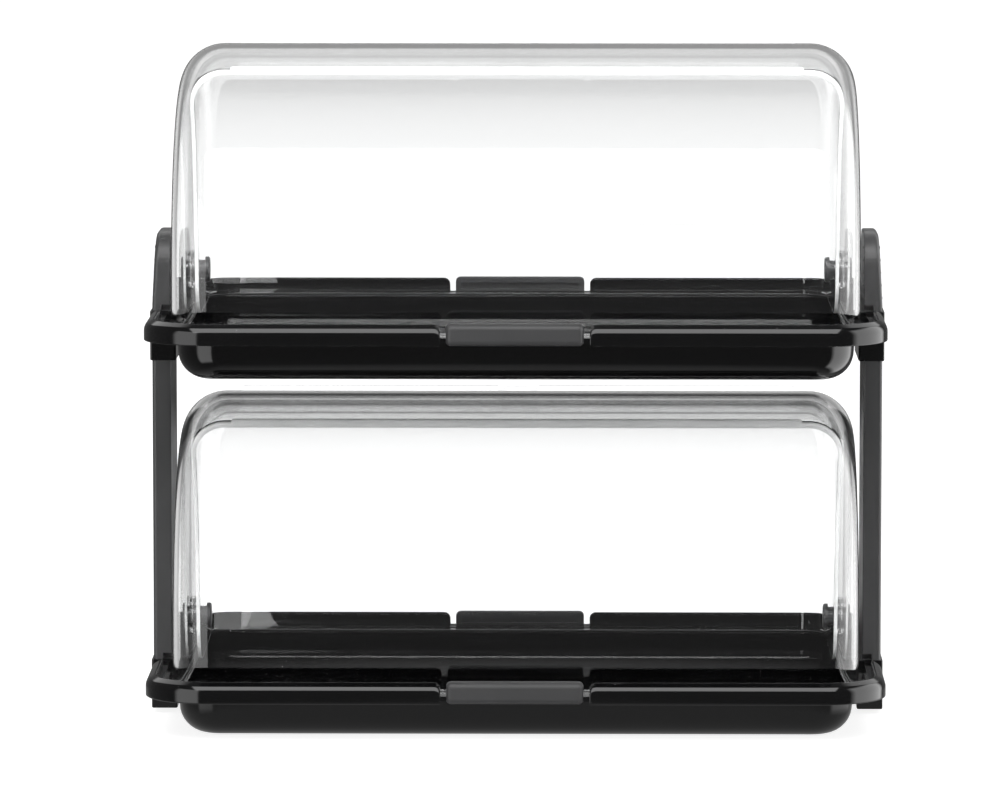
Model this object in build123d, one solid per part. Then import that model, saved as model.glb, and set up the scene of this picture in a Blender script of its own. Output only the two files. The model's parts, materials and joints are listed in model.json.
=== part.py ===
"""Two-tier countertop bread display with clear roll-top covers.

Frame: millimetres, +X to the right, +Y to the back, +Z up, with the origin on the
counter under the middle of the display. Each tier is a tray with two grips and a pair
of nested clear covers that turn about one pair of pivots. Two side stands stand in
sleeves of the lower tray and carry the upper tray.
"""

import os
from math import asin, cos, degrees, hypot, radians, sin, sqrt

from build123d import *

# ---------------------------------------------------------------- driving dimensions
# Tray, in the tier's own frame: z = 0 is the underside of its pan.
TRAY_WIDTH = 442.0  # over the rim, along X
TRAY_DEPTH = 320.0  # over the rim, along Y
RIM_CORNER = 40.0  # plan radius of the rim
TRAY_WALL = 3.0  # pan, flange and skirt
FLANGE_TOP = 29.0
SIDE_FLANGE = 18.5  # from the rim to the pan, at each side
FRONT_FLANGE = 29.0  # from the rim to the pan, at the front and back
SKIRT_DROP = 4.7  # the skirt hangs this far below the flange's top
LIP_HEIGHT = 8.0  # the lip stands this far above the flange's top
LIP_WIDTH = 6.0
LIP_ROUND = 2.4
LIP_GAP = 28.0  # between the side lip's ends and a stand
LIP_END_ROUND = 3.0  # upper corners of the side lip's ends
PAN_CORNER = 26.0
PAN_BOTTOM_ROUND = 17.0
PAN_DRAFT = 2.0  # degrees
RAIL_WIDTH = 3.5  # raised rail inside the lip, along each side
RAIL_HEIGHT = 4.2
RAIL_LENGTH = 230.0

# Grips in the front and rear lips.
GRIP_WIDTH = 81.4
GRIP_GAP = 3.6  # open notch at each end of a grip
GRIP_RISE = 0.6  # above the lip
GRIP_PROUD = 1.0  # in front of the rim
GRIP_INSET = 1.5  # behind the lip's inner face
GRIP_END_ROUND = 3.0
GRIP_FRONT_ROUND = 3.8  # along the upper and lower front edges
GRIP_TAB_ENGAGE = 4.0  # the flange's tongue reaches this far into the grip
GRIP_FIT = 0.2  # the tongue in its slot, each side
GRIP_POCKET_DEPTH = 2.4
GRIP_POCKET_BORDER = 3.4  # left at the pocket's ends
GRIP_POCKET_MARGIN = 3.6  # left above the pocket
GRIP_POCKET_SILL = 1.2  # left between the pocket and the tongue's slot
GRIP_POCKET_RIBS = 3
GRIP_RIB_WIDTH = 1.0
NOTCH_ROUND = 4.0  # upper corners of the lip beside a grip

# Covers.
PIVOT_ABOVE_FLANGE = 27.0
COVER_SEAT_SIDE = 3.3  # the outer cover's ends stand this far outside the pan
COVER_SEAT_FRONT = 4.7  # its closed edge lies this far in front of the pan
COVER_END_ROUND = 27.0
COVER_WALL = 3.0
COVER_OVERLAP = 22.0  # degrees that each cover reaches past the crest
NEST_GAP = 2.7  # between the outer and the inner shell, radially
NEST_END_PLAY = 0.5  # between the sunk seat of a pin and the inner cover
SEAT_GAP = 0.3  # a closed cover's edge above the flange
LIFT_LIP_END = 5.8  # the lift lip stops this far before the cover's round ends
LIFT_LIP_HEIGHT = 8.5
LIP_PLATE = 3.0  # thickness of both covers' lips
LIFT_LIP_CORNER = 4.2
LIFT_TAB_WIDTH = 14.7  # tab in the middle of the lift lip, between two slots
LIFT_TAB_DROP = 0.4  # the tab ends this far below the lift lip's edge
LIFT_SLOT_WIDTH = 5.0
LIFT_SLOT_DEPTH = 2.0
NEST_LIP_HEIGHT = 2.0  # low lip along the rear cover's upper edge
NEST_LIP_END = 4.3  # it stops this far before the rear cover's round ends
NEST_LIP_CORNER = 1.5

# Pivots.
PIN_RADIUS = 5.1
PIN_HEAD_RADIUS = 7.7
PIN_HEAD_WALL = 2.2
PIN_HEAD_DOME = 1.4
PIN_CLEARANCE = 0.08
PIN_END_PLAY = 0.1  # under the pin's head
PIN_SPIGOT_RADIUS = 3.0
PIN_SPIGOT_LENGTH = 4.6
CAP_NECK_RADIUS = 5.7  # wider than the bore, so the cap holds the rear cover
CAP_NECK_LENGTH = 3.0
CAP_WALL = 3.7
CAP_DOME = 1.6
CAP_GAP = 0.2
POCKET_CLEARANCE = 0.9  # round the pin's head, in its sunk seat
POCKET_DEPTH = 3.7

# Stands and their sleeves.
TIER_CLEARANCE = 10.9  # from the lift lip, passing the crest, to the upper pan
COVER_STAND_GAP = 1.8  # from the outer cover's ends to the sleeves
SLEEVE_WIDTH = 15.8  # along X
SLEEVE_INNER_WALL = 3.0
SLEEVE_OUTER_WALL = 1.0
SLEEVE_END_WALL = 2.2
SLEEVE_ROUND = 1.2
SLEEVE_FOOT = 3.0  # the sleeves stop this far above the pan's underside
STAND_DEPTH = 63.0  # along Y
STAND_FIT = 0.2  # stand inside its sleeve, each side
STAND_SHOULDER = 1.4  # column beyond its tongue, at the front and back
STAND_ABOVE_LIP = 43.7
STAND_TOP_ROUND = 20.0
STAND_INNER_EDGE = 1.2
STAND_OUTER_EDGE = 2.3
HANDLE_LEAN = 2.2  # the handle's outer face leans in by this much
HANDLE_RIBS = 5
HANDLE_RIB_PITCH = 7.7
HANDLE_RIB_RADIUS = 1.1
HANDLE_RIB_PROUD = 0.5
HANDLE_RIB_END = 9.3  # the ribs stop this far from the handle's edges
LATCH_HEIGHT = 3.6  # latch window above each sleeve
LATCH_WIDTH = 5.8
LATCH_DEPTH = 6.0

# ------------------------------------------------------------------- derived places
SKIRT_BOTTOM = FLANGE_TOP - SKIRT_DROP
LIP_TOP = FLANGE_TOP + LIP_HEIGHT
COLLAR_TOP = FLANGE_TOP + RAIL_HEIGHT
LIP_IN_X = TRAY_WIDTH / 2 - LIP_WIDTH
LIP_IN_Y = TRAY_DEPTH / 2 - LIP_WIDTH
PAN_WIDTH = TRAY_WIDTH - 2 * SIDE_FLANGE
PAN_DEPTH = TRAY_DEPTH - 2 * FRONT_FLANGE
NOTCH_HALF = GRIP_WIDTH / 2 + GRIP_GAP
PIVOT_Z = FLANGE_TOP + PIVOT_ABOVE_FLANGE
HUB_RADIUS = PIVOT_ABOVE_FLANGE - SEAT_GAP  # disc that both edges of a cover are tangent to
COVER_RADIUS = hypot(PAN_DEPTH / 2 + COVER_SEAT_FRONT, HUB_RADIUS)
COVER_HALF_LENGTH = PAN_WIDTH / 2 + COVER_SEAT_SIDE
HEAD_SEAT_X = COVER_HALF_LENGTH - POCKET_DEPTH
POCKET_RADIUS = PIN_HEAD_RADIUS + POCKET_CLEARANCE
INNER_RADIUS = COVER_RADIUS - COVER_WALL - NEST_GAP
INNER_HALF_LENGTH = HEAD_SEAT_X - COVER_WALL - NEST_END_PLAY
INNER_END_ROUND = COVER_END_ROUND - COVER_WALL - NEST_GAP
BORE_RADIUS = PIN_RADIUS + PIN_CLEARANCE
CAP_FACE_X = INNER_HALF_LENGTH - COVER_WALL - CAP_GAP
TIER_PITCH = PIVOT_Z + COVER_RADIUS + LIFT_LIP_HEIGHT + TIER_CLEARANCE
SLEEVE_INNER = COVER_HALF_LENGTH + COVER_STAND_GAP  # |x| of the sleeve's faces
SLEEVE_OUTER = SLEEVE_INNER + SLEEVE_WIDTH
STAND_INNER = SLEEVE_INNER + SLEEVE_INNER_WALL + STAND_FIT
STAND_OUTER = SLEEVE_OUTER - SLEEVE_OUTER_WALL - STAND_FIT
TONGUE_DEPTH = STAND_DEPTH - 2 * STAND_SHOULDER
SLEEVE_DEPTH = TONGUE_DEPTH + 2 * (STAND_FIT + SLEEVE_END_WALL)
LEAN_FROM = TIER_PITCH + LIP_TOP
STAND_TOP = LEAN_FROM + STAND_ABOVE_LIP
FAR = 2 * TRAY_WIDTH  # past every edge of the display
SIDES = {"left": -1, "right": 1}
TIERS = {"lower": 0.0, "upper": TIER_PITCH}


def slab(width, depth, corner, z_low, z_high):
    """Upright slab with rounded plan corners."""
    plan = Pos(0, 0, z_low) * RectangleRounded(width, depth, corner)
    return extrude(plan, amount=z_high - z_low)


def block(x_low, x_high, y_low, y_high, z_low, z_high):
    """Box between two corners."""
    box = Box(x_high - x_low, y_high - y_low, z_high - z_low, align=(Align.MIN,) * 3)
    return Pos(x_low, y_low, z_low) * box


def both_ends(shape):
    """A shape at the front, and its mirror image at the back."""
    return shape + mirror(shape, about=Plane.XZ)


# ------------------------------------------------------------------------------ tray
def pan(margin, z_floor, bottom_round):
    """Pan as a solid, drawn in by margin, with drafted walls and a round bottom edge."""
    plan = RectangleRounded(
        PAN_WIDTH - 2 * margin, PAN_DEPTH - 2 * margin, PAN_CORNER - margin
    )
    body = extrude(
        Pos(0, 0, FLANGE_TOP) * plan, amount=-(FLANGE_TOP - z_floor), dir=(0, 0, 1),
        taper=PAN_DRAFT,
    )
    rim = body.faces().sort_by(Axis.Z)[0].edges()
    return fillet(rim, bottom_round)


def gap_shape(half, floor, corner):
    """Outline of a gap in a lip, with round upper corners on the lip's ends."""
    shape = Pos(0, LIP_TOP) * Rectangle(2 * half, 2 * (LIP_TOP - floor))
    shape += Pos(0, LIP_TOP) * Rectangle(2 * (half + corner), 2 * corner)
    for side in SIDES.values():
        shape -= Pos(side * (half + corner), LIP_TOP - corner) * Circle(corner)
    return shape


def notch_cutter():
    """Gap in the front lip for a grip."""
    shape = gap_shape(NOTCH_HALF, FLANGE_TOP, NOTCH_ROUND)
    cutter = extrude(Plane.XZ * shape, amount=FAR)
    keep = block(
        -FAR, FAR, -LIP_IN_Y - GRIP_TAB_ENGAGE, FAR, FLANGE_TOP - TRAY_WALL, FLANGE_TOP
    )
    below = block(
        -NOTCH_HALF, NOTCH_HALF, -FAR, -LIP_IN_Y + TRAY_WALL, SKIRT_BOTTOM, FLANGE_TOP
    )
    return (cutter & block(-FAR, FAR, -FAR, 0, FLANGE_TOP, FAR)) + (below - keep)


def sleeve(side):
    """Sleeve for a stand: a collar above the flange and a box below it."""
    x_low, x_high = sorted((side * SLEEVE_INNER, side * SLEEVE_OUTER))
    y_half = SLEEVE_DEPTH / 2
    body = block(x_low, x_high, -y_half, y_half, SLEEVE_FOOT, COLLAR_TOP)
    return fillet(body.edges().filter_by(Axis.Z), SLEEVE_ROUND)


def sleeve_bore(side):
    """Bore of a sleeve, open at both ends."""
    x_low, x_high = sorted((side * (STAND_INNER - STAND_FIT), side * (STAND_OUTER + STAND_FIT)))
    y_half = TONGUE_DEPTH / 2 + STAND_FIT
    return block(x_low, x_high, -y_half, y_half, -TRAY_WALL, LIP_TOP + TRAY_WALL)


def shoulder_seat(side):
    """Gap in the side lip, where a stand's shoulders sit on the collar."""
    x_low, x_high = sorted((side * (SLEEVE_INNER - STAND_FIT), side * FAR))
    shape = gap_shape(STAND_DEPTH / 2 + LIP_GAP, COLLAR_TOP, LIP_END_ROUND)
    cutter = extrude(Plane.YZ * shape, amount=FAR, both=True)
    return cutter & block(x_low, x_high, -FAR, FAR, COLLAR_TOP, FAR)


def tray():
    """Tray: pan, flange, skirt, lip, side rails and the sleeves for the stands."""
    body = slab(TRAY_WIDTH, TRAY_DEPTH, RIM_CORNER, SKIRT_BOTTOM, LIP_TOP)
    body = fillet(body.faces().sort_by(Axis.Z)[-1].edges(), LIP_ROUND)
    body -= slab(
        2 * LIP_IN_X, 2 * LIP_IN_Y, RIM_CORNER - LIP_WIDTH, FLANGE_TOP, LIP_TOP + TRAY_WALL
    )
    body -= slab(
        TRAY_WIDTH - 2 * TRAY_WALL,
        TRAY_DEPTH - 2 * TRAY_WALL,
        RIM_CORNER - TRAY_WALL,
        SKIRT_BOTTOM - TRAY_WALL,
        FLANGE_TOP - TRAY_WALL,
    )
    for side in SIDES.values():
        x_low, x_high = sorted((side * (LIP_IN_X - RAIL_WIDTH), side * LIP_IN_X))
        body += block(x_low, x_high, -RAIL_LENGTH / 2, RAIL_LENGTH / 2, FLANGE_TOP, COLLAR_TOP)
    body += pan(0, 0, PAN_BOTTOM_ROUND)
    body -= pan(TRAY_WALL, TRAY_WALL, PAN_BOTTOM_ROUND - TRAY_WALL)
    body -= both_ends(notch_cutter())
    for side in SIDES.values():
        body += sleeve(side)
        body -= sleeve_bore(side)
        body -= shoulder_seat(side)
    return body


# ----------------------------------------------------------------------------- grips
def front_grip():
    """Grip that closes the front notch: it clips over the flange's tongue."""
    z_low, z_high = SKIRT_BOTTOM, LIP_TOP + GRIP_RISE
    y_low, y_high = -TRAY_DEPTH / 2 - GRIP_PROUD, -LIP_IN_Y + GRIP_INSET
    body = block(-GRIP_WIDTH / 2, GRIP_WIDTH / 2, y_low, y_high, z_low, z_high)
    front = body.faces().sort_by(Axis.Y)[0]
    body = fillet(front.edges().filter_by(Axis.X), GRIP_FRONT_ROUND)
    back = body.faces().sort_by(Axis.Y)[-1]
    for end in (0, -1):
        rim = body.faces().sort_by(Axis.X)[end].edges() - back.edges()
        body = fillet(rim, GRIP_END_ROUND)
    body -= block(
        -FAR, FAR, -LIP_IN_Y - GRIP_TAB_ENGAGE - GRIP_FIT, y_high,
        FLANGE_TOP - TRAY_WALL - GRIP_FIT, FLANGE_TOP + GRIP_FIT,
    )
    body -= grip_pocket(y_high, z_high)
    return body


def grip_pocket(y_back, z_high):
    """Hollow in a grip's inner face, with upright ribs left standing in it."""
    half = GRIP_WIDTH / 2 - GRIP_POCKET_BORDER
    z_low = FLANGE_TOP + GRIP_FIT + GRIP_POCKET_SILL
    y_floor = y_back - GRIP_POCKET_DEPTH
    hollow = block(-half, half, y_floor, y_back, z_low, z_high - GRIP_POCKET_MARGIN)
    pitch = 2 * half / (GRIP_POCKET_RIBS + 1)
    for index in range(GRIP_POCKET_RIBS):
        x = -half + pitch * (index + 1)
        hollow -= block(
            x - GRIP_RIB_WIDTH / 2, x + GRIP_RIB_WIDTH / 2, y_floor, y_back, z_low, z_high
        )
    return hollow


# ---------------------------------------------------------------------------- covers
def drum(radius, half_length, end_round):
    """Solid drum about the pivots' axis, with rounded ends."""
    half_section = Rectangle(2 * half_length, radius, align=(Align.CENTER, Align.MIN))
    corners = half_section.vertices().sort_by(Axis.Y)[-2:]
    return Pos(0, 0, PIVOT_Z) * revolve(fillet(corners, end_round), Axis.X)


def edge_lean(radius):
    """Lean of a cover's upper edge, in radians, so that it ends COVER_OVERLAP past the crest."""
    return radians(COVER_OVERLAP) - asin(HUB_RADIUS / radius)


def front_sector(radius):
    """Region of the front cover seen from the side, extruded past both ends.

    Its lower edge lies above the flange. Its upper edge is the same line, turned about
    the pivot to COVER_OVERLAP degrees past the crest. Both edges are tangent to a disc
    about the pivot, so the cover turns clear of the flange.
    """
    lean = edge_lean(radius)
    foot = (HUB_RADIUS * cos(lean), -HUB_RADIUS * sin(lean))
    outline = Polygon(
        (0, 0), (0, -HUB_RADIUS), (-FAR, -HUB_RADIUS), (-FAR, FAR),
        (foot[0] + FAR * sin(lean), foot[1] + FAR * cos(lean)), foot, align=None,
    )
    region = Pos(0, PIVOT_Z) * (outline + Circle(HUB_RADIUS))
    return extrude(Plane.YZ * region, amount=FAR, both=True)


def cover_shell(radius, half_length, end_round):
    """Clear shell of a front cover: a hollow drum cut to its sector."""
    inside = drum(radius - COVER_WALL, half_length - COVER_WALL, end_round - COVER_WALL)
    return (drum(radius, half_length, end_round) - inside) & front_sector(radius)


def edge_lip(radius, half_length, height, corner):
    """Lip along a front cover's upper edge, with its outer corners rounded."""
    crest = sqrt(radius ** 2 - HUB_RADIUS ** 2)
    plate = block(
        -half_length, half_length, HUB_RADIUS - LIP_PLATE, HUB_RADIUS,
        crest - COVER_WALL / 2, crest + height,
    )
    tips = plate.edges().filter_by(Axis.Y).sort_by(Axis.Z)[-2:]
    plate = fillet(tips, corner)
    return lip_turn(radius) * plate


def lip_turn(radius):
    """Place of a cover's upper edge: the lean about the pivots' axis."""
    return Pos(0, 0, PIVOT_Z) * Rot(-degrees(edge_lean(radius)), 0, 0)


def lift_lip():
    """Lip for the fingers that roll the front cover back, with a tab between two slots."""
    half_length = COVER_HALF_LENGTH - COVER_END_ROUND - LIFT_LIP_END
    lip = edge_lip(COVER_RADIUS, half_length, LIFT_LIP_HEIGHT, LIFT_LIP_CORNER)
    top = sqrt(COVER_RADIUS ** 2 - HUB_RADIUS ** 2) + LIFT_LIP_HEIGHT
    tab_half = LIFT_TAB_WIDTH / 2
    cuts = block(-tab_half, tab_half, 0, FAR, top - LIFT_TAB_DROP, FAR)
    for side in SIDES.values():
        x_low, x_high = sorted((side * tab_half, side * (tab_half + LIFT_SLOT_WIDTH)))
        cuts += block(x_low, x_high, 0, FAR, top - LIFT_SLOT_DEPTH, FAR)
    return lip - lip_turn(COVER_RADIUS) * cuts


def nest_lip():
    """Low lip on the rear cover's upper edge, inside the front cover, before mirroring."""
    half_length = INNER_HALF_LENGTH - INNER_END_ROUND - NEST_LIP_END
    return edge_lip(INNER_RADIUS, half_length, NEST_LIP_HEIGHT, NEST_LIP_CORNER)


def disc(x_from, x_to, radius):
    """Cylinder about the pivots' axis between two places along X."""
    low, high = sorted((x_from, x_to))
    profile = Plane.YZ.offset(low) * Pos(0, PIVOT_Z) * Circle(radius)
    return extrude(profile, amount=high - low)


def front_cover():
    """Outer cover: it closes the front and rolls back over the rear cover."""
    body = cover_shell(COVER_RADIUS, COVER_HALF_LENGTH, COVER_END_ROUND) + lift_lip()
    for side in SIDES.values():
        seat = side * HEAD_SEAT_X
        body += disc(side * (COVER_HALF_LENGTH - COVER_WALL / 2), seat - side * COVER_WALL,
                     POCKET_RADIUS + COVER_WALL)
        body -= disc(side * FAR, seat, POCKET_RADIUS)
        body -= disc(side * FAR, 0, BORE_RADIUS)
    return body


def rear_cover():
    """Inner cover: it closes the back and rolls forward inside the front cover."""
    shell = cover_shell(INNER_RADIUS, INNER_HALF_LENGTH, INNER_END_ROUND)
    body = mirror(shell + nest_lip(), about=Plane.XZ)
    return body - disc(-FAR, FAR, BORE_RADIUS)


# ---------------------------------------------------------------------------- pivots
def pivot_pin(side):
    """Pin with a domed head in the outer pocket and a spigot for its cap."""
    head_foot = HEAD_SEAT_X + PIN_END_PLAY
    head = disc(side * head_foot, side * (head_foot + PIN_HEAD_WALL), PIN_HEAD_RADIUS)
    rim = head.faces().sort_by(Axis.X)[-1 if side > 0 else 0].edges()
    body = fillet(rim, PIN_HEAD_DOME)
    body += disc(side * head_foot, side * CAP_FACE_X, PIN_RADIUS)
    return body + disc(
        side * CAP_FACE_X, side * (CAP_FACE_X - PIN_SPIGOT_LENGTH), PIN_SPIGOT_RADIUS
    )


def pivot_cap(side):
    """Mushroom cap pressed on the pin's spigot, inside the display."""
    neck_end = CAP_FACE_X - CAP_NECK_LENGTH
    head = disc(side * neck_end, side * (neck_end - CAP_WALL), PIN_HEAD_RADIUS)
    rim = head.faces().sort_by(Axis.X)[0 if side > 0 else -1].edges()
    body = fillet(rim, CAP_DOME)
    body += disc(side * CAP_FACE_X, side * neck_end, CAP_NECK_RADIUS)
    return body - disc(
        side * CAP_FACE_X, side * (CAP_FACE_X - PIN_SPIGOT_LENGTH - CAP_GAP),
        PIN_SPIGOT_RADIUS + PIN_CLEARANCE,
    )


# ---------------------------------------------------------------------------- stands
def stand(side):
    """Side stand: a tongue in each tray's sleeve, the column between, a handle on top."""
    body = column(side) + tongue(side) + handle_ribs(side)
    for tier_z in TIERS.values():
        body -= both_ends(latch_window(side, tier_z))
    return body


def column(side):
    """Plate between the tiers: its ends stand on the lower collar and carry the upper sleeve."""
    x_low, x_high = sorted((side * STAND_INNER, side * STAND_OUTER))
    y_half = STAND_DEPTH / 2
    plate = block(x_low, x_high, -y_half, y_half, COLLAR_TOP, TIER_PITCH + SLEEVE_FOOT)
    return round_edges(plate)


def round_edges(plate):
    """Round a stand plate's upright edges and its top, more outside than inside."""
    for inner, radius in ((False, STAND_OUTER_EDGE), (True, STAND_INNER_EDGE)):
        plate = fillet([edge for edge in plate.edges() if is_rim(edge, inner)], radius)
    return plate


def is_rim(edge, inner):
    """Whether an edge of a stand's plate is upright, or on top, beside the face in question."""
    x, z = abs(edge.center().X), edge.center().Z
    beside = x < STAND_INNER + STAND_FIT if inner else x > STAND_OUTER - HANDLE_LEAN - STAND_FIT
    upright = abs(edge.tangent_at(0.5).Z) > 0.5
    return beside and (upright or z > STAND_TOP - STAND_FIT)


def tongue(side):
    """Plate through both sleeves, with a rounded top and an outer face that leans in."""
    y_half = TONGUE_DEPTH / 2
    section = Polygon(
        (STAND_INNER, SLEEVE_FOOT), (STAND_OUTER, SLEEVE_FOOT), (STAND_OUTER, LEAN_FROM),
        (STAND_OUTER - HANDLE_LEAN, STAND_TOP), (STAND_INNER, STAND_TOP), align=None,
    )
    if side < 0:
        section = mirror(section, about=Plane.YZ)
    plate = Pos(0, y_half, 0) * extrude(Plane.XZ * section, amount=2 * y_half)
    ends = plate.edges().filter_by(Axis.X).group_by(Axis.Z)[-1]
    return round_edges(fillet(ends, STAND_TOP_ROUND))


def handle_ribs(side):
    """Level ribs across the handle's outer and inner faces."""
    z_low = TIER_PITCH + COLLAR_TOP + LATCH_HEIGHT + HANDLE_RIB_PITCH / 2
    rib = Rot(90, 0, 0) * Cylinder(HANDLE_RIB_RADIUS, TONGUE_DEPTH - 2 * HANDLE_RIB_END)
    ribs = []
    for index in range(HANDLE_RIBS):
        z = z_low + index * HANDLE_RIB_PITCH
        lean = max(0.0, z - LEAN_FROM) * HANDLE_LEAN / STAND_ABOVE_LIP
        sunk = HANDLE_RIB_RADIUS - HANDLE_RIB_PROUD
        ribs += [Pos(side * (STAND_OUTER - lean - sunk), 0, z) * rib,
                 Pos(side * (STAND_INNER + sunk), 0, z) * rib]
    return ribs


def latch_window(side, tier_z):
    """Window in the stand's front edge, just above a sleeve's collar."""
    x_low, x_high = sorted((side * SLEEVE_INNER, side * (STAND_INNER + LATCH_WIDTH)))
    z_low = tier_z + COLLAR_TOP
    return block(
        x_low, x_high, -STAND_DEPTH, -STAND_DEPTH / 2 + LATCH_DEPTH, z_low, z_low + LATCH_HEIGHT
    )


# ---------------------------------------------------------------------------- export
def tier_parts():
    """Every piece of one tier, by name, in the tier's own frame."""
    grip = front_grip()
    parts = {
        "tray": tray(),
        "front_grip": grip,
        "rear_grip": mirror(grip, about=Plane.XZ),
        "front_cover": front_cover(),
        "rear_cover": rear_cover(),
    }
    for side_name, side in SIDES.items():
        parts[f"{side_name}_pivot_pin"] = pivot_pin(side)
        parts[f"{side_name}_pivot_cap"] = pivot_cap(side)
    return parts


def main():
    """Build every piece and write one STEP file for each."""
    os.makedirs("parts", exist_ok=True)
    pieces = {f"{side_name}_stand": stand(side) for side_name, side in SIDES.items()}
    for name, shape in tier_parts().items():
        for tier_name, tier_z in TIERS.items():
            pieces[f"{tier_name}_{name}"] = Pos(0, 0, tier_z) * shape
    for name, shape in pieces.items():
        export_step(shape, f"parts/{name}.step")


main()
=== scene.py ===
"""Dressed model of a two-tier countertop bread display with clear roll-top covers.

Every size in the classes below is in millimetres and is turned to metres when a mesh is
made. A tier's own frame has z = 0 on the underside of its pan.
"""

import json
import logging
from dataclasses import dataclass
from enum import Enum
from math import asin, atan2, cos, hypot, pi, radians, sin, tan

import bmesh
import bpy
import numpy as np
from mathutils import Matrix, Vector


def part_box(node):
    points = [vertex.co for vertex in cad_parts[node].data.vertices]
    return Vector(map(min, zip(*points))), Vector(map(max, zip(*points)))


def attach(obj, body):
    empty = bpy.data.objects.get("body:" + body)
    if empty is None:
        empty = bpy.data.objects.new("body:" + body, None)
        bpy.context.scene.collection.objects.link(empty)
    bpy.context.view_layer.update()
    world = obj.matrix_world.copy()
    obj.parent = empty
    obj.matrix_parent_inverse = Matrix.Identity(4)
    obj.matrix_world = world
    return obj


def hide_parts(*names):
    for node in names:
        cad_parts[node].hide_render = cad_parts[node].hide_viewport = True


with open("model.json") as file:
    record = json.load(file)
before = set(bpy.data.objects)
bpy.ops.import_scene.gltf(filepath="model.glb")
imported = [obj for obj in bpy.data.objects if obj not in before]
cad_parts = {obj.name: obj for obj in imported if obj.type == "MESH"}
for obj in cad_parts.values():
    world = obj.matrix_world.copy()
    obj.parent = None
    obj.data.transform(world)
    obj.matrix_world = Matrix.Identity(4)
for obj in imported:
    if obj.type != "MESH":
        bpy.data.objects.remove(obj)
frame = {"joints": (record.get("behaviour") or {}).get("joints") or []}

LOG = logging.getLogger("bread_display")
MM = 0.001
MERGE = 2e-6
# Points on a cover's cut edge: on each round end, on each line to the hub, on the hub's arc.
END_STOPS, CUT_STOPS, HUB_STOPS = 15, 25, 13
WHITE = (1.0, 1.0, 1.0, 1.0)


class Side(Enum):
    """Side of the display, as a sign along X."""

    LEFT = -1
    RIGHT = 1


class End(Enum):
    """Front or back of a tier, as the sign its piece is mirrored by along Y."""

    FRONT = 1
    REAR = -1


# ------------------------------------------------------------------------- mesh helpers
@dataclass(frozen=True)
class Patch:
    """Grid of points, rows by columns by three, that becomes a sheet of quads.

    loop closes the columns on themselves. first_cap and last_cap fill the first and the
    last row with one flat face. cut is 1 on faces that take the piece's second finish.
    """

    points: np.ndarray
    loop: bool = False
    first_cap: bool = False
    last_cap: bool = False
    cut: np.ndarray | float = 0.0

    def marks(self) -> np.ndarray:
        """Number of each face's finish, in the order that faces() lists them."""
        rows, columns = self.points.shape[:2]
        across = columns if self.loop else columns - 1
        plain = np.broadcast_to(self.cut, (rows - 1, across)).ravel()
        return np.concatenate([plain, np.zeros(self.first_cap + self.last_cap)])

    def faces(self, start: int) -> list[list[int]]:
        """List the patch's faces.

        Args:
            start: number of its first point in the whole mesh.

        Returns:
            Faces as lists of point numbers.
        """
        rows, columns = self.points.shape[:2]
        index = start + np.arange(rows * columns).reshape(rows, columns)
        ring = np.concatenate([index, index[:, :1]], axis=1) if self.loop else index
        quads = np.stack([ring[:-1, :-1], ring[:-1, 1:], ring[1:, 1:], ring[1:, :-1]], axis=-1)
        found = quads.reshape(-1, 4).tolist()
        if self.first_cap:
            found.append(index[0][::-1].tolist())
        if self.last_cap:
            found.append(index[-1].tolist())
        return found


def make_piece(
    name: str, patches: list[Patch], finishes: list[bpy.types.Material], sharp: float,
    weighted: bool,
) -> bpy.types.Object:
    """Join patches into one closed mesh object in metres.

    Args:
        name: name of the piece.
        patches: its surfaces, in millimetres in the display's frame.
        finishes: its finish, and the one for faces that a patch marks as cut.
        sharp: edges that turn by more than this many degrees stay sharp.
        weighted: True gives flat faces their own normals, for hard-edged pieces.

    Returns:
        The new object.
    """
    faces: list[list[int]] = []
    start = 0
    for patch in patches:
        faces += patch.faces(start)
        start += patch.points.shape[0] * patch.points.shape[1]
    points = np.concatenate([patch.points.reshape(-1, 3) for patch in patches]) * MM
    mesh = bpy.data.meshes.new(name)
    mesh.from_pydata(points.tolist(), [], faces)
    marks = np.concatenate([patch.marks() for patch in patches]).astype(np.int32)
    mesh.polygons.foreach_set("material_index", marks)
    work = bmesh.new()
    work.from_mesh(mesh)
    bmesh.ops.remove_doubles(work, verts=work.verts, dist=MERGE)
    bmesh.ops.dissolve_degenerate(work, edges=work.edges, dist=MERGE)
    bmesh.ops.recalc_face_normals(work, faces=work.faces)
    work.to_mesh(mesh)
    work.free()
    mesh.shade_smooth()
    mesh.set_sharp_from_angle(angle=radians(sharp))
    for material in finishes:
        mesh.materials.append(material)
    piece = bpy.data.objects.new(name, mesh)
    bpy.context.scene.collection.objects.link(piece)
    if weighted:
        modifier = piece.modifiers.new("flat_normals", "WEIGHTED_NORMAL")
        modifier.keep_sharp = True
    return piece


def quarter(
    centre: tuple[float, float], radius: float, start: float, end: float, steps: int = 5
) -> np.ndarray:
    """Points on an arc of a section: the centre plus the radius at evenly spaced angles.

    Args:
        centre: centre of the arc.
        radius: its radius.
        start: first angle, in degrees.
        end: last angle, in degrees.
        steps: number of runs between the points.

    Returns:
        steps + 1 points of two values.
    """
    angle = np.radians(np.linspace(start, end, steps + 1))
    return np.stack([centre[0] + radius * np.cos(angle), centre[1] + radius * np.sin(angle)], -1)


def rounded_loop(
    x_low: float, x_high: float, y_low: float, y_high: float, corner: float, steps: int = 4
) -> np.ndarray:
    """Closed rounded rectangle: four quarter circles, joined by straight runs.

    Returns:
        4 (steps + 1) points of two values, in order round the rectangle.
    """
    corners = (
        ((x_low + corner, y_low + corner), 180.0),
        ((x_high - corner, y_low + corner), 270.0),
        ((x_high - corner, y_high - corner), 0.0),
        ((x_low + corner, y_high - corner), 90.0),
    )
    return np.concatenate([quarter(at, corner, turn, turn + 90, steps) for at, turn in corners])


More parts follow.
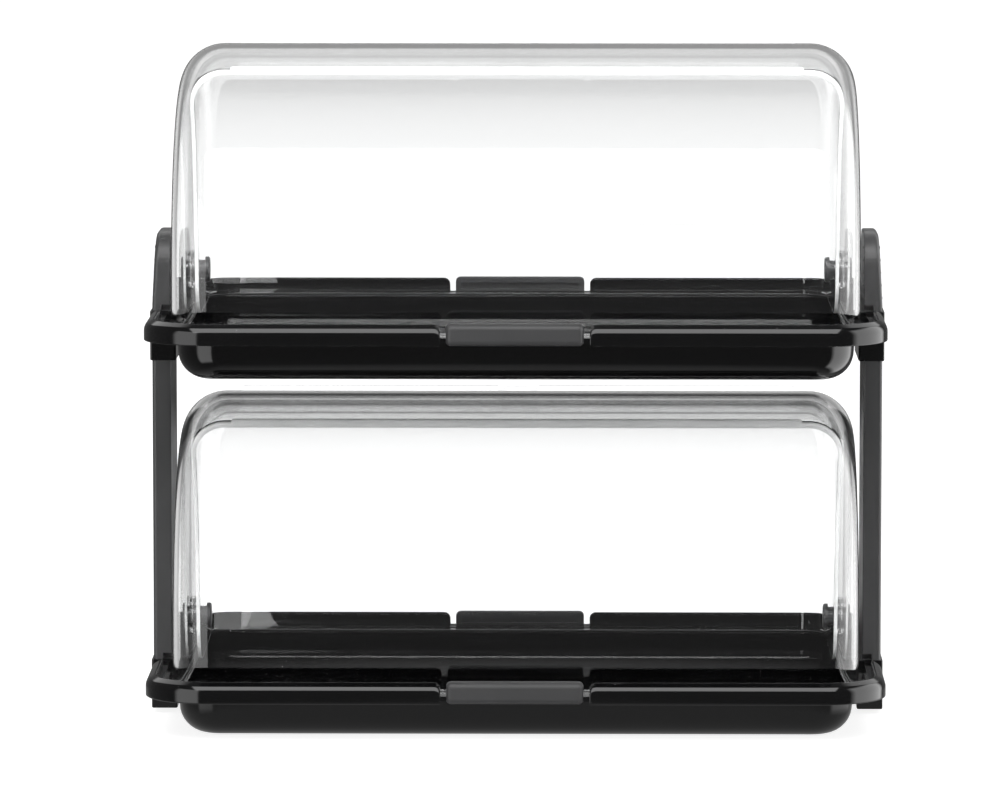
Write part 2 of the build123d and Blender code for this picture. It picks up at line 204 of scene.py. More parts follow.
def stacked_loops(levels: list[tuple[float, ...]]) -> np.ndarray:
    """Rounded rectangles, one row each: its x span, y span, corner radius and height."""
    rows = []
    for *outline, z in levels:
        loop = rounded_loop(*outline)
        rows.append(np.column_stack([loop, np.full(len(loop), z)]))
    return np.array(rows)


def unit(vectors: np.ndarray) -> np.ndarray:
    """Vectors over their own lengths."""
    return vectors / np.linalg.norm(vectors, axis=-1, keepdims=True)


def hub_arc(lean: float) -> np.ndarray:
    """Directions of y and z round a cover's hub, from the upper cut to the lower one."""
    turn = np.linspace(pi + lean, 1.5 * pi, HUB_STOPS)[1:-1]
    return np.stack([-np.cos(turn), np.sin(turn)], -1)


def node_box(node: str) -> tuple[np.ndarray, np.ndarray]:
    """Lowest and highest corner of a CAD node at rest, in millimetres."""
    low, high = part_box(node)
    return np.array(low) / MM, np.array(high) / MM


# ----------------------------------------------------------------------- shader helpers
class Graph:
    """Node tree with short calls that add nodes and join them."""

    def __init__(self, tree: bpy.types.NodeTree) -> None:
        """Take a node tree to work on."""
        self.tree = tree

    def add(self, kind: str, inputs: dict | None = None, **settings: object) -> bpy.types.Node:
        """Add a node.

        Args:
            kind: Blender's name of the node type.
            inputs: a value or an output socket for each input, by name or number.
            settings: attributes of the node.

        Returns:
            The new node.
        """
        node = self.tree.nodes.new(kind)
        for key, value in settings.items():
            setattr(node, key, value)
        for key, value in (inputs or {}).items():
            if isinstance(value, bpy.types.NodeSocket):
                self.tree.links.new(value, node.inputs[key])
            else:
                node.inputs[key].default_value = value
        return node

    def math(self, operation: str, first: object, second: object = 0.0) -> bpy.types.NodeSocket:
        """Add a Math node and return its result."""
        return self.add("ShaderNodeMath", {0: first, 1: second}, operation=operation).outputs[0]

    def span(self, value: object, low: float, high: float, start: float, end: float) -> object:
        """Map a value from the span low..high to start..end, held at both ends."""
        inputs = {"Value": value, "From Min": low, "From Max": high,
                  "To Min": start, "To Max": end}
        return self.add("ShaderNodeMapRange", inputs).outputs[0]

    def times(self, first: object, second: object) -> bpy.types.NodeSocket:
        """Multiply two values."""
        return self.math("MULTIPLY", first, second)

    def blend(self, factor: object, first: object, second: object) -> bpy.types.NodeSocket:
        """Mix two colours by a factor and return the result."""
        node = self.add("ShaderNodeMix", {0: factor, 6: first, 7: second}, data_type="RGBA")
        return node.outputs[2]

    def grey(self, level: object) -> bpy.types.NodeSocket:
        """Turn a level into a grey colour."""
        return self.add("ShaderNodeCombineColor", {0: level, 1: level, 2: level}).outputs[0]

    def mix(self, factor: object, first: object, second: object) -> bpy.types.NodeSocket:
        """Mix two shaders by a factor and return the result."""
        return self.add("ShaderNodeMixShader", {0: factor, 1: first, 2: second}).outputs[0]

    def glow(self, strength: object) -> bpy.types.NodeSocket:
        """Add a white emission of a given strength."""
        inputs = {"Color": WHITE, "Strength": strength}
        return self.add("ShaderNodeEmission", inputs).outputs[0]

    def place(self) -> bpy.types.NodeSocket:
        """Add the Object coordinates."""
        return self.add("ShaderNodeTexCoord").outputs["Object"]

    def effect(self, name: str, **inputs: float) -> bpy.types.Node:
        """Add a shared effect's group with its own values."""
        node = self.add("ShaderNodeGroup", node_tree=bpy.data.node_groups[name])
        for key, value in inputs.items():
            node.inputs[key].default_value = value
        return node

    def link(self, value: bpy.types.NodeSocket, node: bpy.types.Node, key: str) -> None:
        """Join an output to a node's input."""
        self.tree.links.new(value, node.inputs[key])

    def surface(self, value: bpy.types.NodeSocket) -> None:
        """Join a shader to the material's output."""
        self.link(value, self.tree.nodes["Material Output"], "Surface")


def new_material(name: str) -> tuple[bpy.types.Material, Graph, bpy.types.Node]:
    """Start a material.

    Returns:
        The material, the graph inside it and its Principled BSDF.
    """
    material = bpy.data.materials.new(name)
    material.use_nodes = True
    graph = Graph(material.node_tree)
    return material, graph, graph.tree.nodes["Principled BSDF"]


def new_group(
    name: str, inputs: dict[str, float], outputs: list[str]
) -> tuple[Graph, object, object]:
    """Start a shader node group of plain numbers.

    Args:
        name: name of the group.
        inputs: default value of each input.
        outputs: names of the outputs.

    Returns:
        The graph inside it, its input node and its output node.
    """
    tree = bpy.data.node_groups.new(name, "ShaderNodeTree")
    for key, value in inputs.items():
        socket = tree.interface.new_socket(name=key, in_out="INPUT", socket_type="NodeSocketFloat")
        socket.default_value = value
    for key in outputs:
        tree.interface.new_socket(name=key, in_out="OUTPUT", socket_type="NodeSocketFloat")
    graph = Graph(tree)
    return graph, graph.add("NodeGroupInput"), graph.add("NodeGroupOutput")


def grain_group() -> bpy.types.NodeTree:
    """Fine spark-eroded grain: two noises, Size apart, added into one height and a tone."""
    graph, given, result = new_group("moulded_grain", {"Size": 2500.0}, ["Height", "Tone"])
    place = graph.place()
    fine = graph.add("ShaderNodeTexNoise", {"Vector": place, "Scale": given.outputs["Size"],
                                            "Detail": 2.0, "Roughness": 0.6})
    coarse = graph.add("ShaderNodeTexNoise", {"Vector": place, "Detail": 3.0,
                                              "Scale": graph.times(given.outputs["Size"], 0.02)})
    height = graph.math("ADD", fine.outputs[0], graph.times(coarse.outputs[0], 0.3))
    graph.link(height, result, "Height")
    graph.link(coarse.outputs[0], result, "Tone")
    return graph.tree


def ripple_group() -> bpy.types.NodeTree:
    """Slow waves that moulding leaves in a glossy face: one stretched noise as a height."""
    graph, given, result = new_group("moulding_ripple", {"Size": 9.0, "Stretch": 0.4}, ["Height"])
    stretch = graph.add("ShaderNodeCombineXYZ",
                        {"X": given.outputs["Stretch"], "Y": 1.0, "Z": 1.0})
    place = graph.add("ShaderNodeVectorMath", {0: graph.place(), 1: stretch.outputs[0]},
                      operation="MULTIPLY")
    wave = graph.add("ShaderNodeTexNoise", {"Vector": place.outputs[0], "Detail": 1.0,
                                            "Scale": given.outputs["Size"], "Roughness": 0.35})
    graph.link(wave.outputs[0], result, "Height")
    return graph.tree


def dust_group() -> bpy.types.NodeTree:
    """Dust: specks of a Voronoi pattern, kept where a noise allows, on faces that look up."""
    graph, given, result = new_group(
        "settled_dust", {"Size": 420.0, "Amount": 0.5, "Haze": 0.2}, ["Mask", "Film"])
    place = graph.place()
    cell = graph.add("ShaderNodeTexVoronoi", {"Vector": place, "Scale": given.outputs["Size"],
                                              "Randomness": 1.0})
    speck = graph.span(cell.outputs["Distance"], 0.10, 0.22, 1.0, 0.0)
    pick = graph.add("ShaderNodeSeparateColor", {"Color": cell.outputs["Color"]}).outputs[0]
    keep = graph.math("GREATER_THAN", pick, graph.math("SUBTRACT", 1.0, given.outputs["Amount"]))
    cloud = graph.add("ShaderNodeTexNoise", {"Vector": place, "Scale": 14.0, "Detail": 4.0})
    area = graph.span(cloud.outputs[0], 0.42, 0.62, 0.25, 1.0)
    normal = graph.add("ShaderNodeNewGeometry").outputs["Normal"]
    up = graph.add("ShaderNodeSeparateXYZ", {0: normal})
    level = graph.span(up.outputs["Z"], 0.35, 0.95, 0.0, 1.0)
    settled = graph.times(area, level)
    graph.link(graph.times(graph.times(speck, keep), settled), result, "Mask")
    graph.link(graph.times(settled, given.outputs["Haze"]), result, "Film")
    return graph.tree


def scuff_group() -> bpy.types.NodeTree:
    """Handling marks: a long streaky noise that breaks up the gloss, as a value round 0.5."""
    graph, given, result = new_group("handling_scuffs", {"Size": 30.0}, ["Value"])
    place = graph.add("ShaderNodeVectorMath", {0: graph.place(), 1: (0.35, 1.0, 1.0)},
                      operation="MULTIPLY")
    streak = graph.add("ShaderNodeTexNoise", {"Vector": place.outputs[0], "Detail": 6.0,
                                              "Scale": given.outputs["Size"], "Roughness": 0.62})
    graph.link(streak.outputs[0], result, "Value")
    return graph.tree


@dataclass(frozen=True)
class PlasticFinish:
    """Opaque moulded plastic: base colour, gloss and the marks of moulding and use."""

    name: str
    colour: tuple[float, float, float]
    roughness: float
    spread: float
    grain_size: float
    grain_depth: float
    ripple_depth: float
    dust: float
    haze: float

    def build(self) -> bpy.types.Material:
        """Make the material.

        Returns:
            A material whose roughness varies by spread, whose bump adds grain and ripple,
            and whose colour and gloss lose to dust on faces that look up.
        """
        material, graph, shader = new_material(self.name)
        grain = graph.effect("moulded_grain", Size=self.grain_size)
        ripple = graph.effect("moulding_ripple")
        dust = graph.effect("settled_dust", Amount=self.dust, Haze=self.haze)
        scuff = graph.effect("handling_scuffs")
        base = (*self.colour, 1.0)
        light = tuple(min(1.0, part * 1.25 + 0.001) for part in self.colour) + (1.0,)
        tone = graph.blend(grain.outputs["Tone"], base, light)
        hazed = graph.blend(dust.outputs["Film"], tone, (0.30, 0.30, 0.31, 1.0))
        dusty = graph.blend(dust.outputs["Mask"], hazed, (0.42, 0.42, 0.43, 1.0))
        graph.link(dusty, shader, "Base Color")
        low, high = self.roughness - self.spread, self.roughness + self.spread
        gloss = graph.span(scuff.outputs["Value"], 0.3, 0.7, max(0.02, low), high)
        rough = graph.math("ADD", gloss, graph.times(dust.outputs["Mask"], 0.5))
        graph.link(rough, shader, "Roughness")
        fine = graph.add("ShaderNodeBump", {"Strength": 1.0, "Distance": self.grain_depth * MM,
                                            "Height": grain.outputs["Height"]})
        slow = graph.add("ShaderNodeBump", {"Strength": 1.0, "Distance": self.ripple_depth * MM,
                                            "Height": ripple.outputs["Height"],
                                            "Normal": fine.outputs[0]})
        graph.link(slow.outputs[0], shader, "Normal")
        return material


@dataclass(frozen=True)
class ClearFinish:
    """Clear moulded plastic that lets the lamps' light through."""

    name: str
    tint: tuple[float, float, float]
    index: float
    roughness: float
    ripple_size: float
    ripple_depth: float

    def build(self) -> bpy.types.Material:
        """Make the material.

        Returns:
            A clear refracting material with faint handling marks in its gloss and slow
            moulding waves. Shadow rays meet a plain transparent surface instead.
        """
        material, graph, shader = new_material(self.name)
        shader.inputs["Transmission Weight"].default_value = 1.0
        shader.inputs["IOR"].default_value = self.index
        scuff = graph.effect("handling_scuffs")
        tint = (*self.tint, 1.0)
        worn = tuple(part * 0.985 for part in self.tint) + (1.0,)
        colour = graph.blend(scuff.outputs["Value"], tint, worn)
        graph.link(colour, shader, "Base Color")
        rough = graph.span(scuff.outputs["Value"], 0.55, 0.8, self.roughness, self.roughness * 3)
        graph.link(rough, shader, "Roughness")
        ripple = graph.effect("moulding_ripple", Size=self.ripple_size)
        wave = graph.add("ShaderNodeBump", {"Strength": 1.0, "Distance": self.ripple_depth * MM,
                                            "Height": ripple.outputs["Height"]})
        graph.link(wave.outputs[0], shader, "Normal")
        clear = graph.add("ShaderNodeBsdfTransparent", {"Color": (0.97, 0.97, 0.97, 1.0)})
        shadow = graph.add("ShaderNodeLightPath").outputs["Is Shadow Ray"]
        graph.surface(graph.mix(shadow, shader.outputs[0], clear.outputs[0]))
        return material


GLOSS_BLACK = PlasticFinish(
    "gloss_black_plastic", (0.0022, 0.0022, 0.0024), roughness=0.09, spread=0.03,
    grain_size=1400.0, grain_depth=0.0012, ripple_depth=0.012, dust=0.03, haze=0.001)
GRIP_GREY = PlasticFinish(
    "matte_grip_plastic", (0.036, 0.036, 0.037), roughness=0.50, spread=0.06,
    grain_size=2600.0, grain_depth=0.012, ripple_depth=0.02, dust=0.03, haze=0.012)
STAND_GREY = PlasticFinish(
    "satin_stand_plastic", (0.046, 0.046, 0.047), roughness=0.40, spread=0.05,
    grain_size=2200.0, grain_depth=0.010, ripple_depth=0.03, dust=0.04, haze=0.012)
PIVOT_GREY = PlasticFinish(
    "satin_pivot_plastic", (0.060, 0.060, 0.062), roughness=0.38, spread=0.05,
    grain_size=2200.0, grain_depth=0.006, ripple_depth=0.01, dust=0.02, haze=0.005)
CLEAR_COVER = ClearFinish(
    "clear_cover_plastic", (0.985, 0.988, 0.988), index=1.57, roughness=0.006,
    ripple_size=14.0, ripple_depth=0.02)
# Painted highlight: dull white on the rear cover's clear cut rim, standing in for the light that
# the edge carries.
PAINTED_RIM_WHITE = PlasticFinish(
    "frosted_edge_plastic", (0.80, 0.81, 0.81), roughness=0.42, spread=0.06,
    grain_size=3200.0, grain_depth=0.006, ripple_depth=0.02, dust=0.02, haze=0.005)
# Painted highlight: grey on the front cover's clear cut rim, a dimmer stand-in for the light in
# its edge.
PAINTED_RIM_GREY = PlasticFinish(
    "satin_edge_plastic", (0.42, 0.43, 0.43), roughness=0.34, spread=0.06,
    grain_size=3200.0, grain_depth=0.006, ripple_depth=0.02, dust=0.02, haze=0.005)


# --------------------------------------------------------------------------------- tray
@dataclass(frozen=True)
class Tray:
    """Tray of one tier: pan, flange, skirt, lip with two notches, rails and stand sleeves."""

    tier: str
    base: float
    width: float
    depth: float
    rim_corner: float = 40.0
    wall: float = 3.0
    flange_top: float = 29.0
    skirt_bottom: float = 24.3
    lip_top: float = 37.0
    lip_width: float = 6.0
    lip_round: float = 1.2
    crown: float = 117.0
    brow_inset: float = 1.6
    brow_level: float = 35.2
    brow_round: float = 2.0
    cheek: float = 144.0
    cheek_round: float = 8.0
    pan_inset_x: float = 18.5
    pan_inset_y: float = 29.0
    pan_corner: float = 26.0
    pan_round: float = 17.0
    draft: float = 2.0
    mouth_round: float = 1.8
    notch_half: float = 44.3
    notch_round: float = 4.0
    gap_half: float = 59.5
    gap_round: float = 3.0
    front_run: float = 150.0
    side_run: float = 90.0
    notch_inset: float = 2.0
    end_round: float = 0.8
    edge_round: float = 0.8
    collar_top: float = 33.2
    rail_width: float = 3.5
    rail_half: float = 115.0
    sleeve_inner: float = 207.6
    sleeve_outer: float = 223.4
    sleeve_half: float = 32.5
    sleeve_foot: float = 3.0
    sleeve_round: float = 1.2
    sleeve_soft: float = 0.5
    bore_inner: float = 210.6
    bore_outer: float = 222.4
    bore_half: float = 30.3
    bore_round: float = 0.4
    sunk: float = 0.05

    def section(self) -> tuple[np.ndarray, np.ndarray]:
        """Section of the tray from its floor's top, over the lip, to its underside.

        Returns:
            Points of inset and height, and a flag per point that is True where the inset
            is taken from the pan's wall and False where it is taken from the rim.
        """
        lean = tan(radians(self.draft))
        drop = self.flange_top - self.pan_round
        inner = self.wall + drop * lean + self.pan_round - self.wall
        outer = drop * lean + self.pan_round
        mouth = self.wall - self.mouth_round
        top, width, bend = self.lip_top, self.lip_width, self.lip_round
        low, edge = self.skirt_bottom, self.edge_round
        inside = np.concatenate([
            quarter((inner, self.pan_round), self.pan_round - self.wall, -90, -180, 8),
            quarter((mouth, self.flange_top - self.mouth_round), self.mouth_round, 0, 90, 5),
        ])
        brow = quarter((0.0, 0.0), self.brow_round, self.crown, self.cheek, 4)
        brow += (self.brow_inset, self.brow_level) - brow[0]
        cheek = quarter((0.0, 0.0), self.cheek_round, self.cheek, 180, 8)
        cheek += brow[-1] - cheek[0]
        out = cheek[-1, 0]
        rim = np.concatenate([
            quarter((width + edge, self.flange_top + edge), edge, -90, -180, 3),
            quarter((width - bend, top - bend), bend, 0, self.crown, 6),
            brow, cheek[1:], [(out, low + 2 * edge)],
            quarter((out + edge, low + edge), edge, 180, 270, 4),
            quarter((self.wall - edge, low + edge), edge, -90, 0, 3),
            [(self.wall, self.flange_top - self.wall)],
        ])
        under = np.concatenate([
            quarter((-1.0, self.flange_top - self.wall - 1), 1.0, 90, 0, 3),
            quarter((outer, self.pan_round), self.pan_round, 180, 270, 9),
        ])
        points = np.concatenate([inside, rim, under])
        on_pan = np.zeros(len(points), dtype=bool)
        on_pan[: len(inside)] = True
        on_pan[-len(under):] = True
        return points, on_pan

    def lip_run(self, half: float, wall_at: float, low: float, corner: float) -> np.ndarray:
        """Stops along one straight side of the rim, with the lip's height at each.

        The lip's height factor is 1 outside wall_at and low inside it. The lip's top
        falls on a quarter circle of the given corner radius, and its ends pinch in on a
        quarter circle of end_round.

        Args:
            half: outermost stop.
            wall_at: place of the lip's end wall, from the middle.
            low: height factor inside the wall.
            corner: radius of the lip's upper corner.

        Returns:
            Rows of stop, height factor, pinch in millimetres and 1 inside the wall.
        """
        tall = self.lip_top - self.flange_top
        angle = np.radians(np.linspace(0, 90, 7))
        pinch_x = self.end_round * (1 - np.cos(angle[::2]))
        spots = [wall_at + pinch_x, wall_at + corner * (1 - np.cos(angle))]
        spots.append(np.linspace(wall_at + max(corner, 1.0), half, 9))
        right = np.unique(np.round(np.concatenate(spots), 5))
        reach = np.clip(corner - (right - wall_at), 0, corner)
        drop = corner - np.sqrt(np.maximum(corner**2 - reach**2, 0)) if corner else 0 * right
        near = np.clip(self.end_round - (right - wall_at), 0, self.end_round)
        pinch = self.end_round - np.sqrt(self.end_round**2 - near**2)
        outer = np.stack([right, 1 - drop / tall, pinch, 0 * right], -1)
        inner = np.array([[wall_at, low, 0, 1], [wall_at / 2, low, 0, 1], [0, low, 0, 1]])
        far = np.concatenate([inner[:1], outer])
        left = far[::-1] * (-1, 1, 1, 1)
        return np.concatenate([left, inner[1:] * (-1, 1, 1, 1), inner[1:2], far])

    def main_body(self) -> Patch:
        """Pan, flange, skirt and lip as one surface.

        The section is carried round two rounded rectangles at once: a point lies at the
        corner circle's centre plus the outward direction times the corner radius less its
        inset, for the pan or for the rim. Along a straight side the direction stays and
        the centre slides.
        """
        half_x, half_y = self.width / 2, self.depth / 2
        rim_core = np.array([half_x - self.rim_corner, half_y - self.rim_corner])
        pan_core = np.array([half_x - self.pan_inset_x - self.pan_corner,
                             half_y - self.pan_inset_y - self.pan_corner])
        front = self.lip_run(self.front_run, self.notch_half, 0.0, self.notch_round)
        gap = (self.collar_top - self.sunk - self.flange_top) / (self.lip_top - self.flange_top)
        side = self.lip_run(self.side_run, self.gap_half, gap, self.gap_round)
        columns = []
        for turn in range(4):
            run, axis = (front, 0) if turn % 2 == 0 else (side, 1)
            along = np.concatenate([[-rim_core[axis]], run[:, 0], [rim_core[axis]]])
            along_pan = np.concatenate([[-pan_core[axis]], run[:, 0], [pan_core[axis]]])
            shape = np.concatenate([[[1, 0, 0]], run[:, 1:], [[1, 0, 0]]])
            notch = shape[:, 2] * (axis == 0)
            facing = radians(-90 + 90 * turn)
            normal = np.array([cos(facing), sin(facing)])
            tangent = np.array([-sin(facing), cos(facing)])
            for angle in (None, np.radians(np.linspace(0, 90, 13))[1:-1] + facing):
                if angle is None:
                    rim = normal * rim_core[1 - axis] + np.outer(along, tangent)
                    pan = normal * pan_core[1 - axis] + np.outer(along_pan, tangent)
                    way = np.tile(normal, (len(along), 1))
                    rest = np.stack([shape[:, 0], shape[:, 1], notch], -1)
                else:
                    way = np.stack([np.cos(angle), np.sin(angle)], -1)
                    at = np.array([1, 1]) * (normal + tangent)
                    rim = np.tile(at * rim_core, (len(angle), 1))
                    pan = np.tile(at * pan_core, (len(angle), 1))
                    rest = np.tile((1.0, 0.0, 0.0), (len(angle), 1))
                columns.append(np.concatenate([rim, pan, way, rest], axis=1))
        column = np.concatenate(columns)
        rim, pan, way = column[:, 0:2], column[:, 2:4], column[:, 4:6]
        height, pinch, notch = column[:, 6], column[:, 7], column[:, 8]
        points, on_pan = self.section()
        inset, level = points[:, :1], points[:, 1:]
        half_lip = self.lip_width / 2
        top = self.flange_top
        squeezed = half_lip + (inset - half_lip) * (half_lip - pinch) / half_lip
        rim_inset = np.where((inset <= self.lip_width) & (level > top), squeezed, inset)
        rim_inset = np.where(notch > 0, np.maximum(rim_inset, self.notch_inset), rim_inset)
        z = np.where(level > top, top + (level - top) * height, level)
        z = np.where(notch > 0, np.maximum(z, top - self.wall), z)
        reach_rim = (self.rim_corner - rim_inset)[..., None]
        reach_pan = (self.pan_corner - inset + 0 * height)[..., None]
        flag = on_pan[:, None, None]
        plan = np.where(flag, pan + way * reach_pan, rim + way * reach_rim)
        z = np.where(on_pan[:, None], level + 0 * height, z)
        grid = np.concatenate([plan, z[..., None]], axis=-1)
        return Patch(grid + (0, 0, self.base), loop=True, first_cap=True, last_cap=True)

    def sleeve(self, side: Side) -> Patch:
        """Stand's sleeve: a rounded rectangle's section carried up outside and down inside."""
        x_low, x_high, half = self.sleeve_inner, self.sleeve_outer, self.sleeve_half
        top, foot, soft = self.collar_top, self.sleeve_foot, self.sleeve_soft
        levels = [
            (x_low + inset, x_high - inset, -half + inset, half - inset,
             self.sleeve_round - inset, z)
            for inset, z in ((soft, foot), (0.0, foot + soft), (0.0, top - soft),
                             (0.15, top - 0.15), (soft, top))]
        bore = (self.bore_inner, self.bore_outer, -self.bore_half, self.bore_half, self.bore_round)
        rows = stacked_loops(levels + [(*bore, top), (*bore, foot), levels[0]])
        return Patch(rows * (side.value, 1, 1) + (0, 0, self.base), loop=True)

    def rail(self, side: Side, end: End) -> Patch:
        """Raised rail beside the side lip, from a sleeve's end wall to its own end.

        It is a rounded rectangle lifted from the flange and drawn in at its top.
        """
        outer = self.width / 2 - self.lip_width
        start = (self.bore_half + self.sleeve_half) / 2
        rows = stacked_loops([
            (outer - self.rail_width + inset, outer + 1.0 - inset, start,
             self.rail_half - inset, 1.0, z)
            for inset, z in ((0.0, self.flange_top - 0.5), (0.0, self.collar_top - 0.7),
                             (0.2, self.collar_top - 0.2), (0.7, self.collar_top - self.sunk))])
        grid = rows * (side.value, -end.value, 1) + (0, 0, self.base)
        return Patch(grid, loop=True, first_cap=True, last_cap=True)

    def build(self, finish: bpy.types.Material) -> bpy.types.Object:
        """Make the tray and set it in place of its CAD node."""
        patches = [self.main_body()]
        for side in Side:
            patches += [self.sleeve(side)] + [self.rail(side, end) for end in End]
        piece = make_piece(f"{self.tier}_tray_moulding", patches, [finish], 40.0, True)
        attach(piece, "display_frame")
        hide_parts(f"{self.tier}_tray")
        return piece


# -------------------------------------------------------------------------------- grips
@dataclass(frozen=True)
class Grip:
    """Matte grip that closes a notch and clips over the flange's tongue."""

    tier: str
    end: End
    base: float
    width: float = 81.4
    z_low: float = 24.3
    z_high: float = 37.6
    front: float = 161.0
    back: float = 152.5
    front_round: float = 3.8
    back_round: float = 0.8
    end_round: float = 3.0
    slot_low: float = 25.8
    slot_high: float = 29.2
    slot_depth: float = 5.7
    pocket_depth: float = 2.4
    pocket_border: float = 3.4
    pocket_low: float = 30.4
    pocket_high: float = 34.0
    ribs: int = 3
    rib_width: float = 1.0

    def columns(self) -> np.ndarray:
        """Stops along the grip, with the hollow's depth and the outline's inset at each.

        The inset grows on a quarter circle at the grip's ends. The hollow's depth steps
        to zero at each rib.

        Returns:
            Rows of stop, depth and inset.
        """
        half = self.width / 2
        turn = np.radians(np.linspace(0, 90, 9))
        place = half - self.end_round * (1 - np.sin(turn))
        inset = self.end_round * (1 - np.cos(turn))
        right = np.stack([place, 0 * place, inset], -1)
        inner = half - self.pocket_border
        pitch = 2 * inner / (self.ribs + 1)
        ribs = -inner + pitch * np.arange(1, self.ribs + 1)
        steps = ribs[:, None] + np.array([-0.5, -0.5, 0.5, 0.5]) * self.rib_width
        depths = np.tile([1.0, 0.0, 0.0, 1.0], self.ribs) * self.pocket_depth
        stops = np.concatenate([[-inner, -inner], steps.ravel(), [inner, inner]])
        depths = np.concatenate([[0.0, self.pocket_depth], depths, [self.pocket_depth, 0.0]])
        middle = np.stack([stops, depths, 0 * stops], -1)
        return np.concatenate([right[::-1] * (-1, 1, 1), middle, right])

    def section(self, pocket: np.ndarray, inset: np.ndarray) -> np.ndarray:
        """Closed section of the grip at each column, seen from its end.

        Round corners keep their centres and lose the inset from their radius. Where the
        inset passes the slot, the tail under the slot is gone.

        Args:
            pocket: depth of the hollow in the inner face, per column.
            inset: how far the outline is drawn in, per column.

        Returns:
            Grid of depth and height, columns by points.
        """
        front, back = -self.front, -self.back
        slot = back - self.slot_depth
        bottom = self.z_low + inset
        tail = np.where(bottom < self.slot_low, back, slot)
        flat = np.ones_like(inset)
        bend = self.front_round - inset
        upper, lower = (np.radians(np.linspace(a, a + 90, 9)) for a in (90, 180))
        inner = np.radians(np.linspace(0, 90, 4))
        corner_y = front + self.front_round
        points = [
            (back * flat, self.slot_high * flat), (back * flat, self.pocket_low * flat),
            (back - pocket, self.pocket_low * flat), (back - pocket, self.pocket_high * flat),
            (back * flat, self.pocket_high * flat),
        ]
        points += [(back - self.back_round * (1 - cos(a)) * flat,
                    self.z_high - inset - self.back_round * (1 - sin(a))) for a in inner]
        for turn, corner_z in ((upper, self.z_high - self.front_round),
                               (lower, self.z_low + self.front_round)):
            points += [(corner_y + bend * cos(a), corner_z + bend * sin(a)) for a in turn]
        points += [
            (slot * flat, bottom), (tail, np.minimum(bottom, self.slot_low)),
            (tail, self.slot_low * flat), (slot * flat, np.maximum(bottom, self.slot_low)),
            (slot * flat, self.slot_high * flat),
        ]
        return np.array(points).transpose(2, 0, 1)

    def build(self, finish: bpy.types.Material) -> bpy.types.Object:
        """Make the grip: its section carried along X."""
        columns = self.columns()
        flat = self.section(columns[:, 1], columns[:, 2])
        across = np.broadcast_to(columns[:, :1], flat.shape[:2])[..., None]
        grid = np.concatenate([across, flat], axis=-1) * (1, self.end.value, 1) + (0, 0, self.base)
        name = f"{self.tier}_{self.end.name.lower()}_grip"
        patch = Patch(grid, loop=True, first_cap=True, last_cap=True)
        piece = make_piece(f"{name}_moulding", [patch], [finish], 35.0, True)
        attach(piece, "display_frame")
        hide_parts(name)
        return piece


# ------------------------------------------------------------------------------- covers
@dataclass(frozen=True)
class Wall:
    """One surface of a cover: a drum with round ends, cut to a sector about the pivots."""

    radius: float
    half_length: float
    end_round: float
    hub: float
    lean: float

    def angles(self, rho: np.ndarray, low_inset: float, high_inset: float) -> np.ndarray:
        """Angles of the cut edges, from the front upwards.

        The lower edge lies where the height below the pivot is the hub radius less its
        inset, and the upper edge is that line turned about the pivot.

        Args:
            rho: distance from the pivots' axis.
            low_inset: distance kept from the lower cut.
            high_inset: distance kept from the upper cut.

        Returns:
            Lower and upper angle for each rho.
        """
        low = -np.arcsin((self.hub - low_inset) / rho)
        high = pi + self.lean - np.arccos((self.hub - high_inset) / rho)
        return np.stack([low, high])

    def meridian(self, stops: np.ndarray) -> tuple[np.ndarray, np.ndarray]:
        """Run from one end wall to the other: a quarter circle, the stops, a quarter circle."""
        turn = np.radians(np.linspace(180, 90, END_STOPS))
        x = -(self.half_length - self.end_round) + self.end_round * np.cos(turn)
        rho = self.radius - self.end_round + self.end_round * np.sin(turn)
        full_x = np.concatenate([x, stops, -x[::-1]])
        return full_x, np.concatenate([rho, np.full(len(stops), self.radius), rho[::-1]])


